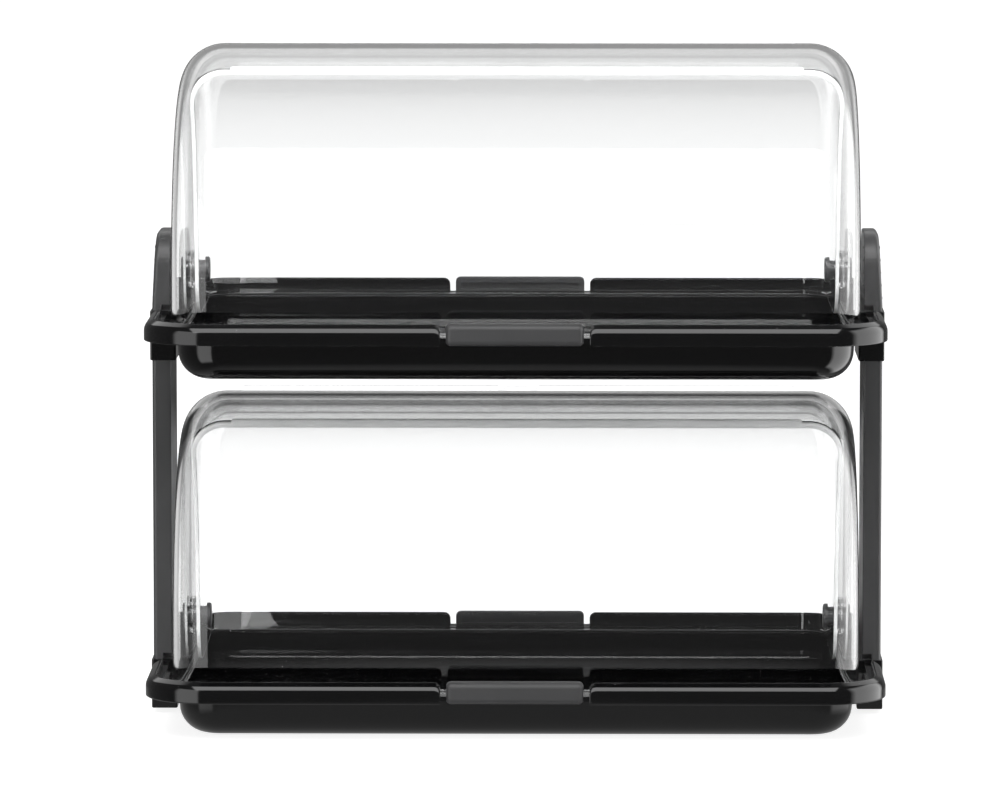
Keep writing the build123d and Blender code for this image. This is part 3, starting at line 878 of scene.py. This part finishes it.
@dataclass(frozen=True)
class Cover:
    """Clear cover: outer and inner surface, end walls with their pivot seats, and the rim."""

    tier: str
    end: End
    pivot: float
    radius: float
    half_length: float
    end_round: float
    wall: float = 3.0
    hub: float = 26.7
    overlap: float = 22.0
    bore: float = 5.18
    seat_radius: float = 0.0
    seat_depth: float = 0.0
    lip_height: float = 8.5
    lip_half: float = 173.0
    lip_corner: float = 4.2
    tab_half: float = 0.0
    tab_drop: float = 0.4
    slot_width: float = 5.0
    slot_depth: float = 2.0
    low_inset: float = 1.2
    high_inset: float = 3.4
    # Rim rows from this one in, off the lower edge, take a painted highlight finish.
    painted_rim_row: int = 9
    rows: int = 96

    @property
    def lean(self) -> float:
        """Lean of the upper edge in radians."""
        return radians(self.overlap) - asin(self.hub / self.radius)

    def lip_stops(self) -> tuple[np.ndarray, np.ndarray]:
        """Stops along the straight part and the upper lip's height at each.

        The lip's outer corners are quarter circles. Where there is a tab, two slots part
        it from the lip in the middle.
        """
        side = self.half_length - self.end_round
        turn = np.radians(np.linspace(0, 90, 6))
        base, tall, round_off = self.lip_half, self.lip_height, self.lip_corner
        half = [(-side + 1.5, 0.0), (-base, 0.0)]
        half += [(-base + round_off * (1 - cos(a)), tall - round_off * (1 - sin(a))) for a in turn]
        half += [(float(x), tall) for x in np.linspace(-160, -20, 15)]
        if self.tab_half:
            slot, low = self.tab_half + self.slot_width, tall - self.slot_depth
            half += [(-slot, tall), (-slot, low), (-self.tab_half, low),
                     (-self.tab_half, tall - self.tab_drop)]
        stops = np.array(half + [(-x, height) for x, height in half[::-1]])
        return stops[:, 0], stops[:, 1]

    def hub_path(self, wall: Wall, low_inset: float, high_inset: float) -> np.ndarray:
        """Cut edge across an end wall, from the round end in to the hub and out again.

        It follows the upper cut line, then the hub's arc, then the lower cut line.

        Returns:
            Points of y and z about the pivot.
        """
        reach = wall.radius - wall.end_round
        up = np.array([sin(wall.lean), cos(wall.lean)])
        out = np.array([cos(wall.lean), -sin(wall.lean)])
        share = np.linspace(1, 0, CUT_STOPS)[:, None]
        inset = low_inset + (high_inset - low_inset) * share
        run = np.sqrt(reach**2 - (self.hub - inset[0])**2)
        upper = out * (self.hub - inset) + up * run * share
        arc = (self.hub - low_inset) * hub_arc(wall.lean)
        run = np.sqrt(reach**2 - (self.hub - low_inset)**2)
        back = share[::-1]
        lower = np.concatenate([-run * back, np.full_like(back, -(self.hub - low_inset))], -1)
        return np.concatenate([upper, arc, lower])

    def sheet(self, wall: Wall, low_inset: float, high_inset: float) -> np.ndarray:
        """Drum between the end walls: each meridian point swept from lower to upper cut."""
        stops, _ = self.lip_stops()
        x, rho = wall.meridian(stops)
        low, high = wall.angles(rho, low_inset, high_inset)
        share = np.linspace(0, 1, self.rows)[:, None]
        angle = low + (high - low) * share
        across = np.broadcast_to(x, angle.shape)
        return np.stack([across, -rho * np.cos(angle), rho * np.sin(angle)], -1)

    def end_wall(self, outer: Wall, inner: Wall, side: Side) -> np.ndarray:
        """End wall, outside and inside, joined through the pivot's seat and bore.

        Each ring lies between a circle about the pivot and the cut outline, and the rows
        between the two faces follow the section of the seat and the bore.
        """
        loops = []
        for wall, high_inset in ((outer, self.high_inset), (inner, self.low_inset)):
            rho = np.array(wall.radius - wall.end_round)
            low, high = wall.angles(rho, self.low_inset, high_inset)
            angle = np.linspace(low, high, self.rows)
            arc = np.stack([-rho * np.cos(angle), rho * np.sin(angle)], -1)
            hub = self.hub_path(wall, self.low_inset, high_inset)[1:-1]
            loops.append(np.concatenate([arc, hub]))
        face_x = outer.half_length
        seat_x = face_x - self.seat_depth
        inner_x = face_x - self.wall
        if self.seat_depth:
            hole = [(face_x, self.seat_radius + 0.5), (face_x - 0.15, self.seat_radius + 0.15),
                    (face_x - 0.5, self.seat_radius), (seat_x + 0.4, self.seat_radius),
                    (seat_x, self.seat_radius - 0.4), (seat_x, self.bore),
                    (seat_x - self.wall, self.bore),
                    (seat_x - self.wall, self.seat_radius + self.wall - 0.6),
                    (seat_x - self.wall + 0.6, self.seat_radius + self.wall),
                    (inner_x, self.seat_radius + self.wall)]
        else:
            hole = [(face_x, self.bore + 0.3), (face_x - 0.3, self.bore),
                    (inner_x + 0.3, self.bore), (inner_x, self.bore + 0.3)]
        rows = []
        share = np.linspace(0, 1, 22)[:, None, None] ** 1.4
        for loop, (x, ring) in zip(loops, (hole[0], hole[-1])):
            start = unit(loop) * ring
            flat = start + (loop - start) * share
            rows.append(np.concatenate([np.full(flat.shape[:2] + (1,), x), flat], -1))
        section = np.array(hole)
        mix = np.linspace(0, 1, len(hole))[:, None, None]
        turned = unit(unit(loops[0]) * (1 - mix) + unit(loops[1]) * mix)
        neck = np.concatenate([np.broadcast_to(section[:, :1, None], turned.shape[:2] + (1,)),
                               turned * section[:, 1:, None]], -1)
        grid = np.concatenate([rows[0][::-1], neck[1:-1], rows[1]])
        return grid * (side.value, 1, 1)

    def edge(self, wall: Wall, low_inset: float, high_inset: float) -> np.ndarray:
        """Whole cut edge of one surface: lower edge, right end, upper edge, left end."""
        sheet = self.sheet(wall, low_inset, high_inset)
        hub = self.hub_path(wall, low_inset, high_inset)[1:-1]
        right = np.column_stack([np.full(len(hub), wall.half_length), hub])
        left = right * (-1, 1, 1)
        return np.concatenate([sheet[0], right[::-1], sheet[-1][::-1], left])

    def rim(self, outer: Wall, inner: Wall) -> tuple[np.ndarray, np.ndarray]:
        """Rounded rim between the two surfaces, with the lift lip raised along the upper edge.

        A row lies at a share of the wall's thickness between the two cut edges, drawn in
        by its distance from the cut, and lifted along the upper cut line by the lip's
        height at that column.

        Returns:
            The grid, and the mark of its painted-highlight faces, none along the lower edge.
        """
        first = self.edge(outer, self.low_inset, self.high_inset)
        last = self.edge(inner, self.low_inset, self.low_inset)
        cut_out, cut_in = self.edge(outer, 0.0, 0.0), self.edge(inner, 0.0, 0.0)
        stops, heights = self.lip_stops()
        span = len(stops) + 2 * END_STOPS
        hub = self.hub_path(outer, 0.0, 0.0)[1:-1]
        upper_way = np.array([0.0, cos(self.lean), -sin(self.lean)])
        up = np.array([0.0, sin(self.lean), cos(self.lean)])
        arc = np.insert(hub_arc(self.lean), 0, 0.0, axis=1)
        down = np.array([0.0, 0.0, -1.0])
        line = (CUT_STOPS - 1, 1)
        across = np.concatenate([np.tile(upper_way, line), arc, np.tile(down, line)])
        way = np.concatenate([np.tile(down, (span, 1)), across[::-1],
                              np.tile(upper_way, (span, 1)), across])
        lift = np.zeros(len(way))
        begin = span + len(hub)
        lift[begin + END_STOPS : begin + span - END_STOPS] = heights[::-1]
        inset = np.einsum("ij,ij->i", cut_out - first, way)
        rows = [first]
        plain = lift <= 0
        for draw, depth, rise in (
                (0.91, 0.0, 0.0), (0.88, 0.0, 0.5), (0.88, 0.0, lift - 1.0),
                (0.80, 0.0, lift - 0.3), (0.60, 0.0, lift), (0.28, 0.0, lift),
                (0.09, 0.03 * plain, lift - 0.3), (0.0, 0.15 * plain, lift - 1.0),
                (0.0, 0.3, 0.0), (0.0, 0.78, 0.0)):
            depth = np.broadcast_to(depth, lift.shape)[:, None]
            high = np.clip(np.broadcast_to(rise, lift.shape), 0, np.maximum(lift, 0))[:, None]
            rows.append(cut_out * (1 - depth) + cut_in * depth
                        - way * (inset * draw)[:, None] + up * high)
        rows.append(cut_out * 0.06 + cut_in * 0.94 - way * 0.25)
        rows.append(last)
        cut = np.zeros((len(rows) - 1, len(way)))
        # Painted highlight: these rim faces take the white or grey finish that stands in for light
        # in the clear edge.
        cut[self.painted_rim_row : -1, span:] = 1.0
        return np.array(rows), cut

    def build(self, finishes: list[bpy.types.Material]) -> bpy.types.Object:
        """Make the cover from its sheets, end walls and rim, mirrored for the rear one."""
        sizes = np.array([self.radius, self.half_length, self.end_round])
        outer = Wall(*sizes.tolist(), self.hub, self.lean)
        inner = Wall(*(sizes - self.wall).tolist(), self.hub, self.lean)
        rim, cut = self.rim(outer, inner)
        grids = [(self.sheet(outer, self.low_inset, self.high_inset), False, 0.0),
                 (self.sheet(inner, self.low_inset, self.low_inset), False, 0.0), (rim, True, cut)]
        grids += [(self.end_wall(outer, inner, side), True, 0.0) for side in Side]
        place = (1, self.end.value, 1)
        patches = [Patch(grid * place + (0, 0, self.pivot), loop=loop, cut=mark)
                   for grid, loop, mark in grids]
        name = f"{self.tier}_{self.end.name.lower()}_cover"
        piece = make_piece(f"{name}_shell", patches, finishes, 50.0, False)
        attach(piece, name)
        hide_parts(name)
        return piece


# ------------------------------------------------------------------------------- stands
@dataclass(frozen=True)
class Stand:
    """Side stand: tongues in both sleeves, the column between them and the ribbed handle."""

    side: Side
    pitch: float
    top: float
    inner: float = 210.8
    outer: float = 222.2
    foot: float = 3.0
    collar_top: float = 33.2
    tongue_half: float = 30.1
    column_half: float = 31.5
    lip_top: float = 37.0
    lean: float = 2.2
    top_round: float = 20.0
    inner_edge: float = 1.2
    outer_edge: float = 2.3
    top_edge: float = 3.4
    latch_height: float = 3.6
    latch_reach: float = 5.8
    latch_half: float = 25.5
    ribs: int = 5
    rib_pitch: float = 7.7
    rib_radius: float = 1.1
    rib_proud: float = 0.5
    rib_half: float = 20.8

    @property
    def bend(self) -> float:
        """Height where the handle's round top begins."""
        return self.top - self.top_round

    @property
    def latch_top(self) -> float:
        """Height of the upper latch window's top."""
        return self.pitch + self.collar_top + self.latch_height

    def edge(self, z: np.ndarray) -> np.ndarray:
        """Radius of the outer face's edge, which grows evenly up the handle."""
        share = np.clip((z - self.latch_top) / (self.top - self.latch_top), 0, 1)
        return self.outer_edge + (self.top_edge - self.outer_edge) * share

    def rib_height(self, y: np.ndarray, z: np.ndarray) -> np.ndarray:
        """Height of the handle's ribs: the cap of a sunk round bar, level along Y."""
        places = self.latch_top + self.rib_pitch * (0.5 + np.arange(self.ribs))
        away = np.min(np.abs(z[..., None] - places), axis=-1)
        sunk = self.rib_radius - self.rib_proud
        cap = np.sqrt(np.maximum(self.rib_radius**2 - away**2, 0)) - sunk
        return np.clip(cap, 0, None) * (np.abs(y) <= self.rib_half + 1e-6)

    def rows(self) -> np.ndarray:
        """Rows up the stand's outline, seen from its side.

        Returns:
            Rows of half depth, height, turn of the outline in radians and 1 at a latch.
        """
        collar, latch = self.collar_top, self.collar_top + self.latch_height
        tongue, column = self.tongue_half, self.column_half
        high = self.pitch + collar
        plain = [(tongue, self.foot, 0), (tongue, collar, 0), (column, collar, 1),
                 (column, latch, 1), (column, latch, 0), (column, self.pitch + self.foot, 0),
                 (tongue, self.pitch + self.foot, 0), (tongue, high, 0), (tongue, high, 1),
                 (tongue, self.latch_top, 1), (tongue, self.latch_top, 0)]
        half_cap = np.sqrt(self.rib_radius**2 - (self.rib_radius - self.rib_proud) ** 2)
        offsets = half_cap * np.array([-1.0, -0.87, -0.6, -0.3, 0.0, 0.3, 0.6, 0.87, 1.0])
        places = self.latch_top + self.rib_pitch * (0.5 + np.arange(self.ribs))
        levels = (places[:, None] + offsets).ravel()
        straight = [(tongue, z, 0) for z in levels[levels < self.bend]] + [(tongue, self.bend, 0)]
        low = np.array(plain + straight)
        dense = np.linspace(0, pi / 2, 721)
        outline = self.bend + self.top_round * np.sin(dense)
        turns = [np.radians(np.linspace(0, 90, 19)[1:])]
        for edge in (self.edge(outline), self.inner_edge):
            reached = outline - np.sin(dense) * edge
            turns.append(np.interp(levels[levels > self.bend], reached, dense))
        turn = np.unique(np.round(np.concatenate(turns), 6))
        arc = np.stack([tongue - self.top_round * (1 - np.cos(turn)),
                        self.bend + self.top_round * np.sin(turn), turn, 0 * turn], -1)
        return np.concatenate([np.insert(low, 2, 0.0, axis=1), arc])

    def place(self, depth: np.ndarray, y: np.ndarray, z: np.ndarray) -> np.ndarray:
        """Points from the depth behind the inner face, which shrinks as the outer face leans."""
        start = self.pitch + self.lip_top
        share = np.clip((z - start) / (self.top - start), 0, None)
        depth = depth * (1 - share * self.lean / (self.outer - self.inner))
        return np.stack([(self.inner + depth) * self.side.value, y, z], -1)

    def corner(self, rows: np.ndarray) -> tuple[np.ndarray, np.ndarray]:
        """Chain from the inner face round the outline to the outer face, for every row.

        Both edges are quarter circles. Two points in between mark the latch's reach.

        Returns:
            Depth behind the inner face and inset from the outline, rows by points.
        """
        turn = np.radians(np.linspace(0, 90, 7))
        wide = self.outer - self.inner
        edge = self.edge(rows[:, 1])[:, None]
        small = np.full_like(edge, self.inner_edge)
        marks = np.full((len(rows), 2), self.latch_reach)
        depth = np.concatenate([small * (1 - np.cos(turn)), marks,
                                wide - edge * (1 - np.cos(turn[::-1]))], axis=1)
        inset = np.concatenate([small * (1 - np.sin(turn)), 0 * marks,
                                edge * (1 - np.sin(turn[::-1]))], axis=1)
        return depth, inset

    def faces_stops(self) -> np.ndarray:
        """Stops across both faces, doubled at the ends of the ribs."""
        half = np.array([1.0, 0.75, 0.5, 0.25]) * self.rib_half
        left = -np.concatenate([[self.column_half, self.rib_half + 0.02], half])
        return np.concatenate([left, [0.0], -left[::-1]])

    def build(self, finish: bpy.types.Material) -> bpy.types.Object:
        """Make the stand: loops stacked up the outline, closed by a strip over the top.

        A loop runs along the front chain, across the outer face, along the rear chain and
        back across the inner face. A point lies at the outline less its inset, taken
        along the outline's normal.
        """
        rows = self.rows()
        half, level, turn, latch = rows.T[:, :, None]
        depth, inset = self.corner(rows)
        chain_y, chain_z = half - np.cos(turn) * inset, level - np.sin(turn) * inset
        cut = (latch > 0) & (np.arange(depth.shape[1]) < 8)
        chain_y = np.where(cut, self.latch_half, chain_y)
        front = self.place(depth, -chain_y, chain_z)
        rear = self.place(depth, chain_y, chain_z)[:, ::-1]
        stops = self.faces_stops()
        sheets = []
        for last, base, way in ((-1, self.outer - self.inner, 1), (0, 0.0, -1)):
            y = np.clip(stops, -chain_y[:, last, None], chain_y[:, last, None])
            z = np.broadcast_to(chain_z[:, last, None], y.shape)
            proud = np.where(z > self.latch_top, self.rib_height(y, z), 0.0)
            sheets.append(self.place(base + way * proud, y, z))
        grid = np.concatenate([front, sheets[0], rear, sheets[1][:, ::-1]], axis=1)
        over = np.clip(stops, -half[-1], half[-1])[:, None]
        strip = self.place(depth[-1] + 0 * over, over + 0 * depth[-1], chain_z[-1] + 0 * over)
        patches = [Patch(grid, loop=True, first_cap=True), Patch(strip)]
        name = f"{self.side.name.lower()}_stand"
        piece = make_piece(f"{name}_moulding", patches, [finish], 40.0, True)
        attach(piece, "display_frame")
        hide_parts(name)
        return piece


# ------------------------------------------------------------------------------- pivots
@dataclass(frozen=True)
class Pivots:
    """Pins and caps of one tier, kept from the model and given their finish."""

    tier: str

    def dress(self, finish: bpy.types.Material) -> list[bpy.types.Object]:
        """Put the finish on every pin and cap of the tier and return them."""
        dressed = []
        for side in Side:
            for kind in ("pin", "cap"):
                node = bpy.data.objects[f"{self.tier}_{side.name.lower()}_pivot_{kind}"]
                for slot in node.material_slots:
                    slot.material = finish
                dressed.append(node)
        return dressed


# ------------------------------------------------------------------------------- studio
@dataclass(frozen=True)
class Softbox:
    """Area lamp that faces a point: size and place in metres, and its brightness.

    A lamp that isn't mirrored lights dull surfaces but leaves no highlight on glossy ones.
    """

    name: str
    width: float
    height: float
    place: tuple[float, float, float]
    aim: tuple[float, float, float]
    radiance: float
    mirrored: bool = True

    def build(self) -> bpy.types.Object:
        """Make the lamp. Its power is pi times its area times its brightness."""
        data = bpy.data.lights.new(self.name, "AREA")
        data.shape = "RECTANGLE"
        data.size, data.size_y = self.width, self.height
        data.energy = self.radiance * pi * self.width * self.height
        lamp = bpy.data.objects.new(self.name, data)
        from_x, from_y, from_z = (a - b for a, b in zip(self.place, self.aim))
        lamp.visible_glossy = self.mirrored
        lamp.location = self.place
        lamp.rotation_euler = (atan2(hypot(from_x, from_y), from_z), 0.0,
                               atan2(from_y, from_x) + pi / 2)
        bpy.context.scene.collection.objects.link(lamp)
        return lamp


@dataclass(frozen=True)
class SkyPanel:
    """Bright patch of the sky that only reflections meet.

    Angles are in degrees. Azimuth is 0 at the front and grows to the right, and a panel
    behind the display takes both sides at once. Each edge fades over its soft angle.
    """

    level: float
    azimuth: tuple[float, float]
    azimuth_soft: tuple[float, float]
    elevation: tuple[float, float]
    elevation_soft: tuple[float, float]
    both_sides: bool = False

    def build(self, graph: Graph, azimuth: object, elevation: object) -> bpy.types.NodeSocket:
        """Add the panel's nodes and return its brightness in every direction."""
        around = graph.math("ABSOLUTE", azimuth) if self.both_sides else azimuth
        total = self.level
        for value, (low, high), (soft_low, soft_high) in (
                (around, self.azimuth, self.azimuth_soft),
                (elevation, self.elevation, self.elevation_soft)):
            total = graph.times(total, graph.span(value, low, low + soft_low, 0.0, 1.0))
            total = graph.times(total, graph.span(value, high - soft_high, high, 1.0, 0.0))
        return total


SKY_PANELS = (
    SkyPanel(3.0, (55.0, 140.0), (12.0, 10.0), (-60.0, 45.0), (10.0, 10.0)),
    SkyPanel(2.2, (-68.0, -22.0), (8.0, 3.0), (-45.0, 35.0), (10.0, 6.0)),
    SkyPanel(1.3, (130.0, 190.0), (10.0, 1.0), (20.0, 62.0), (5.0, 8.0), both_sides=True),
    SkyPanel(0.15, (60.0, 190.0), (20.0, 1.0), (-60.0, 50.0), (10.0, 10.0), both_sides=True),
)


@dataclass(frozen=True)
class Studio:
    """Pale floor, world, lamps and camera.

    Levels ending in glow are the floor's for camera rays, for mirror rays that meet the
    table near by, and for rays bent through a cover. A fill lights dull faces through a
    cover, and sky_dull lights those in the open.
    """

    camera_place: tuple[float, float, float] = (0.045, -4.360, 0.65297)
    camera_pitch: float = 83.986
    camera_yaw: float = 0.733
    lens: float = 257.4
    floor_half: float = 30.0
    floor_glow: float = 0.86
    table_glow: float = 0.42
    bent_glow: float = 1.38
    far_glow: float = 1.27
    farthest_share: float = 0.75
    floor_colour: tuple[float, ...] = (0.80, 0.80, 0.80, 1.0)
    shadow_colour: tuple[float, ...] = (0.55, 0.55, 0.55, 1.0)
    sky_base: float = 0.13
    sky_dull: tuple[float, ...] = (0.45, 0.45, 0.45, 1.0)
    sky_dark: tuple[float, ...] = (0.05, 0.05, 0.05, 1.0)
    sky_high_share: float = 0.42
    fill_front: float = 3.2
    fill_back: float = 0.6
    aim: tuple[float, float, float] = (0.0, 0.0, 0.2)

    def camera(self) -> bpy.types.Object:
        """Make the camera and set it as the scene's own."""
        data = bpy.data.cameras.new("studio_camera")
        data.lens = self.lens
        data.sensor_width = 36.0
        data.clip_end = 200.0
        camera = bpy.data.objects.new("studio_camera", data)
        camera.location = self.camera_place
        camera.rotation_euler = (radians(self.camera_pitch), 0.0, radians(self.camera_yaw))
        bpy.context.scene.collection.objects.link(camera)
        bpy.context.scene.camera = camera
        return camera

    def floor(self) -> bpy.types.Object:
        """Make the floor: a disc of four rings, pale, that keeps the display's shadow.

        Rings have radii that grow from the middle, so the disc has no long thin faces.
        """
        angle = np.linspace(0, 2 * pi, 65)[:-1]
        radii = np.array([0.5, 2.0, 8.0, self.floor_half]) / MM
        grid = np.stack([radii[:, None] * np.cos(angle), radii[:, None] * np.sin(angle),
                         0 * radii[:, None] * angle], -1)
        material, graph, shader = new_material("pale_floor")
        shader.inputs["Base Color"].default_value = self.floor_colour
        shader.inputs["Roughness"].default_value = 0.9
        shader.inputs["Specular IOR Level"].default_value = 0.0
        ray = graph.add("ShaderNodeLightPath").outputs
        place = graph.place()
        way = graph.add("ShaderNodeSeparateXYZ", {0: place}).outputs
        behind = graph.span(way["Y"], -0.16, -0.14, 0.0, 1.0)
        direct = graph.math("LESS_THAN", ray["Glossy Depth"], 0.5)
        through = graph.times(ray["Is Transmission Ray"], graph.math("MAXIMUM", behind, direct))
        along = graph.math("ADD", graph.math("ABSOLUTE", way["Y"]), 0.3)
        far = graph.add("ShaderNodeVectorMath", {0: place}, operation="LENGTH").outputs["Value"]
        fading = graph.times(graph.span(far, 1.5, 4.0, self.bent_glow, self.far_glow),
                             graph.span(far, 4.0, 14.0, 1.0, self.farthest_share))
        bent = graph.glow(graph.times(self.spread(graph, way["X"], along), fading))
        faint = graph.add("ShaderNodeBsdfDiffuse", {"Color": self.shadow_colour})
        lit = graph.add("ShaderNodeAddShader",
                        {0: graph.glow(self.floor_glow), 1: faint.outputs[0]})
        gone = graph.add("ShaderNodeBsdfTransparent").outputs[0]
        beyond = graph.span(far, 0.25, 0.36, 0.0, 1.0)
        table = graph.mix(beyond, graph.glow(self.table_glow), gone)
        base = graph.mix(ray["Is Glossy Ray"], shader.outputs[0], table)
        unseen = graph.mix(through, base, bent)
        graph.surface(graph.mix(ray["Is Camera Ray"], unseen, lit.outputs[0]))
        patch = Patch(grid - (0, 0, 0.1), loop=True, first_cap=True)
        piece = make_piece("studio_floor", [patch], [material], 30.0, False)
        return piece

    @staticmethod
    def spread(graph: Graph, across: object, along: object) -> bpy.types.NodeSocket:
        """Brightness that bent rays meet, by how far they stray from front to back.

        It is 1 up to 20 degrees, falls to 0.38 at 50 degrees, and is bright again to the
        sides.
        """
        turn = graph.math("ARCTAN2", graph.math("ABSOLUTE", across), along)
        astray = graph.math("DEGREES", turn)
        fall = graph.times(graph.span(astray, 20.0, 32.0, 1.0, 0.62),
                           graph.span(astray, 32.0, 50.0, 1.0, 0.62))
        return graph.math("MAXIMUM", fall, graph.span(astray, 60.0, 78.0, 0.0, 0.9))

    def world(self) -> None:
        """Light the scene from all round.

        What the camera sees is white. Rays bent through the covers meet a sky that dims
        with height and to the sides, and those that a tray throws back to the front meet
        a dark one. Mirror rays meet the bright panels. Light that falls through a
        cover onto a dull face comes mostly from the front.
        """
        world = bpy.data.worlds.new("studio_world")
        bpy.context.scene.world = world
        world.use_nodes = True
        graph = Graph(world.node_tree)
        back = graph.tree.nodes["Background"]
        direction = graph.add("ShaderNodeTexCoord").outputs["Generated"]
        x, y, z = graph.add("ShaderNodeSeparateXYZ", {0: direction}).outputs[:3]
        azimuth = graph.math("DEGREES", graph.math("ARCTAN2", x, graph.times(y, -1.0)))
        elevation = graph.math("DEGREES", graph.math("ARCSINE", z))
        level = self.sky_base
        for panel in SKY_PANELS:
            level = graph.math("MAXIMUM", level, panel.build(graph, azimuth, elevation))
        aside = self.spread(graph, x, graph.math("ABSOLUTE", y))
        rise = graph.span(z, 0.05, 0.105, 1.0, self.sky_high_share)
        bent = graph.grey(graph.times(rise, aside))
        ray = graph.add("ShaderNodeLightPath").outputs
        direct = graph.math("LESS_THAN", ray["Glossy Depth"], 0.5)
        open_way = graph.math("MAXIMUM", graph.span(y, -0.1, 0.3, 0.0, 1.0), direct)
        ahead = graph.blend(open_way, self.sky_dark, bent)
        soft = graph.blend(ray["Is Glossy Ray"], self.sky_dull, graph.grey(level))
        clear = graph.blend(ray["Is Transmission Ray"], soft, ahead)
        dull = graph.times(ray["Is Transmission Ray"],
                           graph.math("MINIMUM", ray["Diffuse Depth"], 1.0))
        fill = graph.span(y, -0.2, 0.2, self.fill_front, self.fill_back)
        through = graph.blend(dull, clear, graph.grey(fill))
        graph.link(graph.blend(ray["Is Camera Ray"], through, WHITE), back, "Color")
        back.inputs["Strength"].default_value = 1.0

    def build(self) -> None:
        """Make the whole studio."""
        self.camera()
        self.floor()
        self.world()
        lamps = (
            Softbox("front_softbox", 3.4, 2.1, (0.0, -1.98, 2.44), self.aim, radiance=4.0),
            Softbox("left_softbox", 0.5, 1.2, (-0.62, -4.6, 0.7), self.aim, radiance=2.5,
                    mirrored=False),
        )
        for lamp in lamps:
            lamp.build()
        scene = bpy.context.scene
        scene.view_settings.view_transform = "Standard"
        scene.cycles.max_bounces = 24
        scene.cycles.transmission_bounces = 24
        scene.cycles.glossy_bounces = 8
        scene.cycles.transparent_max_bounces = 24


# --------------------------------------------------------------------------------- main
@dataclass(frozen=True)
class Display:
    """The whole display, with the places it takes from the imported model."""

    def build(self) -> None:
        """Make every piece of both tiers and the stands, and report each one."""
        for make in (grain_group, ripple_group, dust_group, scuff_group):
            make()
        black, grip_grey = GLOSS_BLACK.build(), GRIP_GREY.build()
        stand_grey, pivot_grey = STAND_GREY.build(), PIVOT_GREY.build()
        # The cover rims take painted highlights: white on the rear cover, grey on the front one.
        clear, white_rim_glint, grey_rim_glint = CLEAR_COVER.build(), PAINTED_RIM_WHITE.build(), PAINTED_RIM_GREY.build()
        hinges = {joint["name"]: joint["pos_m"] for joint in frame["joints"]}
        bases = {}
        for tier in ("lower", "upper"):
            base = bases[tier] = float(node_box(f"{tier}_tray")[0][2])
            pivot = hinges[f"{tier}_front_cover_roll"][2] / MM
            pieces = [Tray(tier, base, 442.0, 320.0).build(black)]
            pieces += [Grip(tier, end, base).build(grip_grey) for end in End]
            pieces.append(Cover(tier, End.FRONT, pivot, 138.304, 205.8, 27.0, seat_radius=8.6,
                                seat_depth=3.7, tab_half=7.35).build([clear, grey_rim_glint]))
            pieces.append(Cover(tier, End.REAR, pivot, 132.604, 198.6, 21.3, lip_height=2.0,
                                lip_corner=1.5, painted_rim_row=3).build([clear, white_rim_glint]))
            pieces += Pivots(tier).dress(pivot_grey)
            for piece in pieces:
                LOG.info("built %s", piece.name)
        top = float(node_box("right_stand")[1][2])
        for side in Side:
            piece = Stand(side, bases["upper"], top).build(stand_grey)
            LOG.info("built %s", piece.name)


def main() -> None:
    """Build the studio and the display."""
    logging.basicConfig(level=logging.INFO, format="%(name)s: %(message)s")
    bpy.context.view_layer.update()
    Studio().build()
    Display().build()


if __name__ == "__main__":
    main()
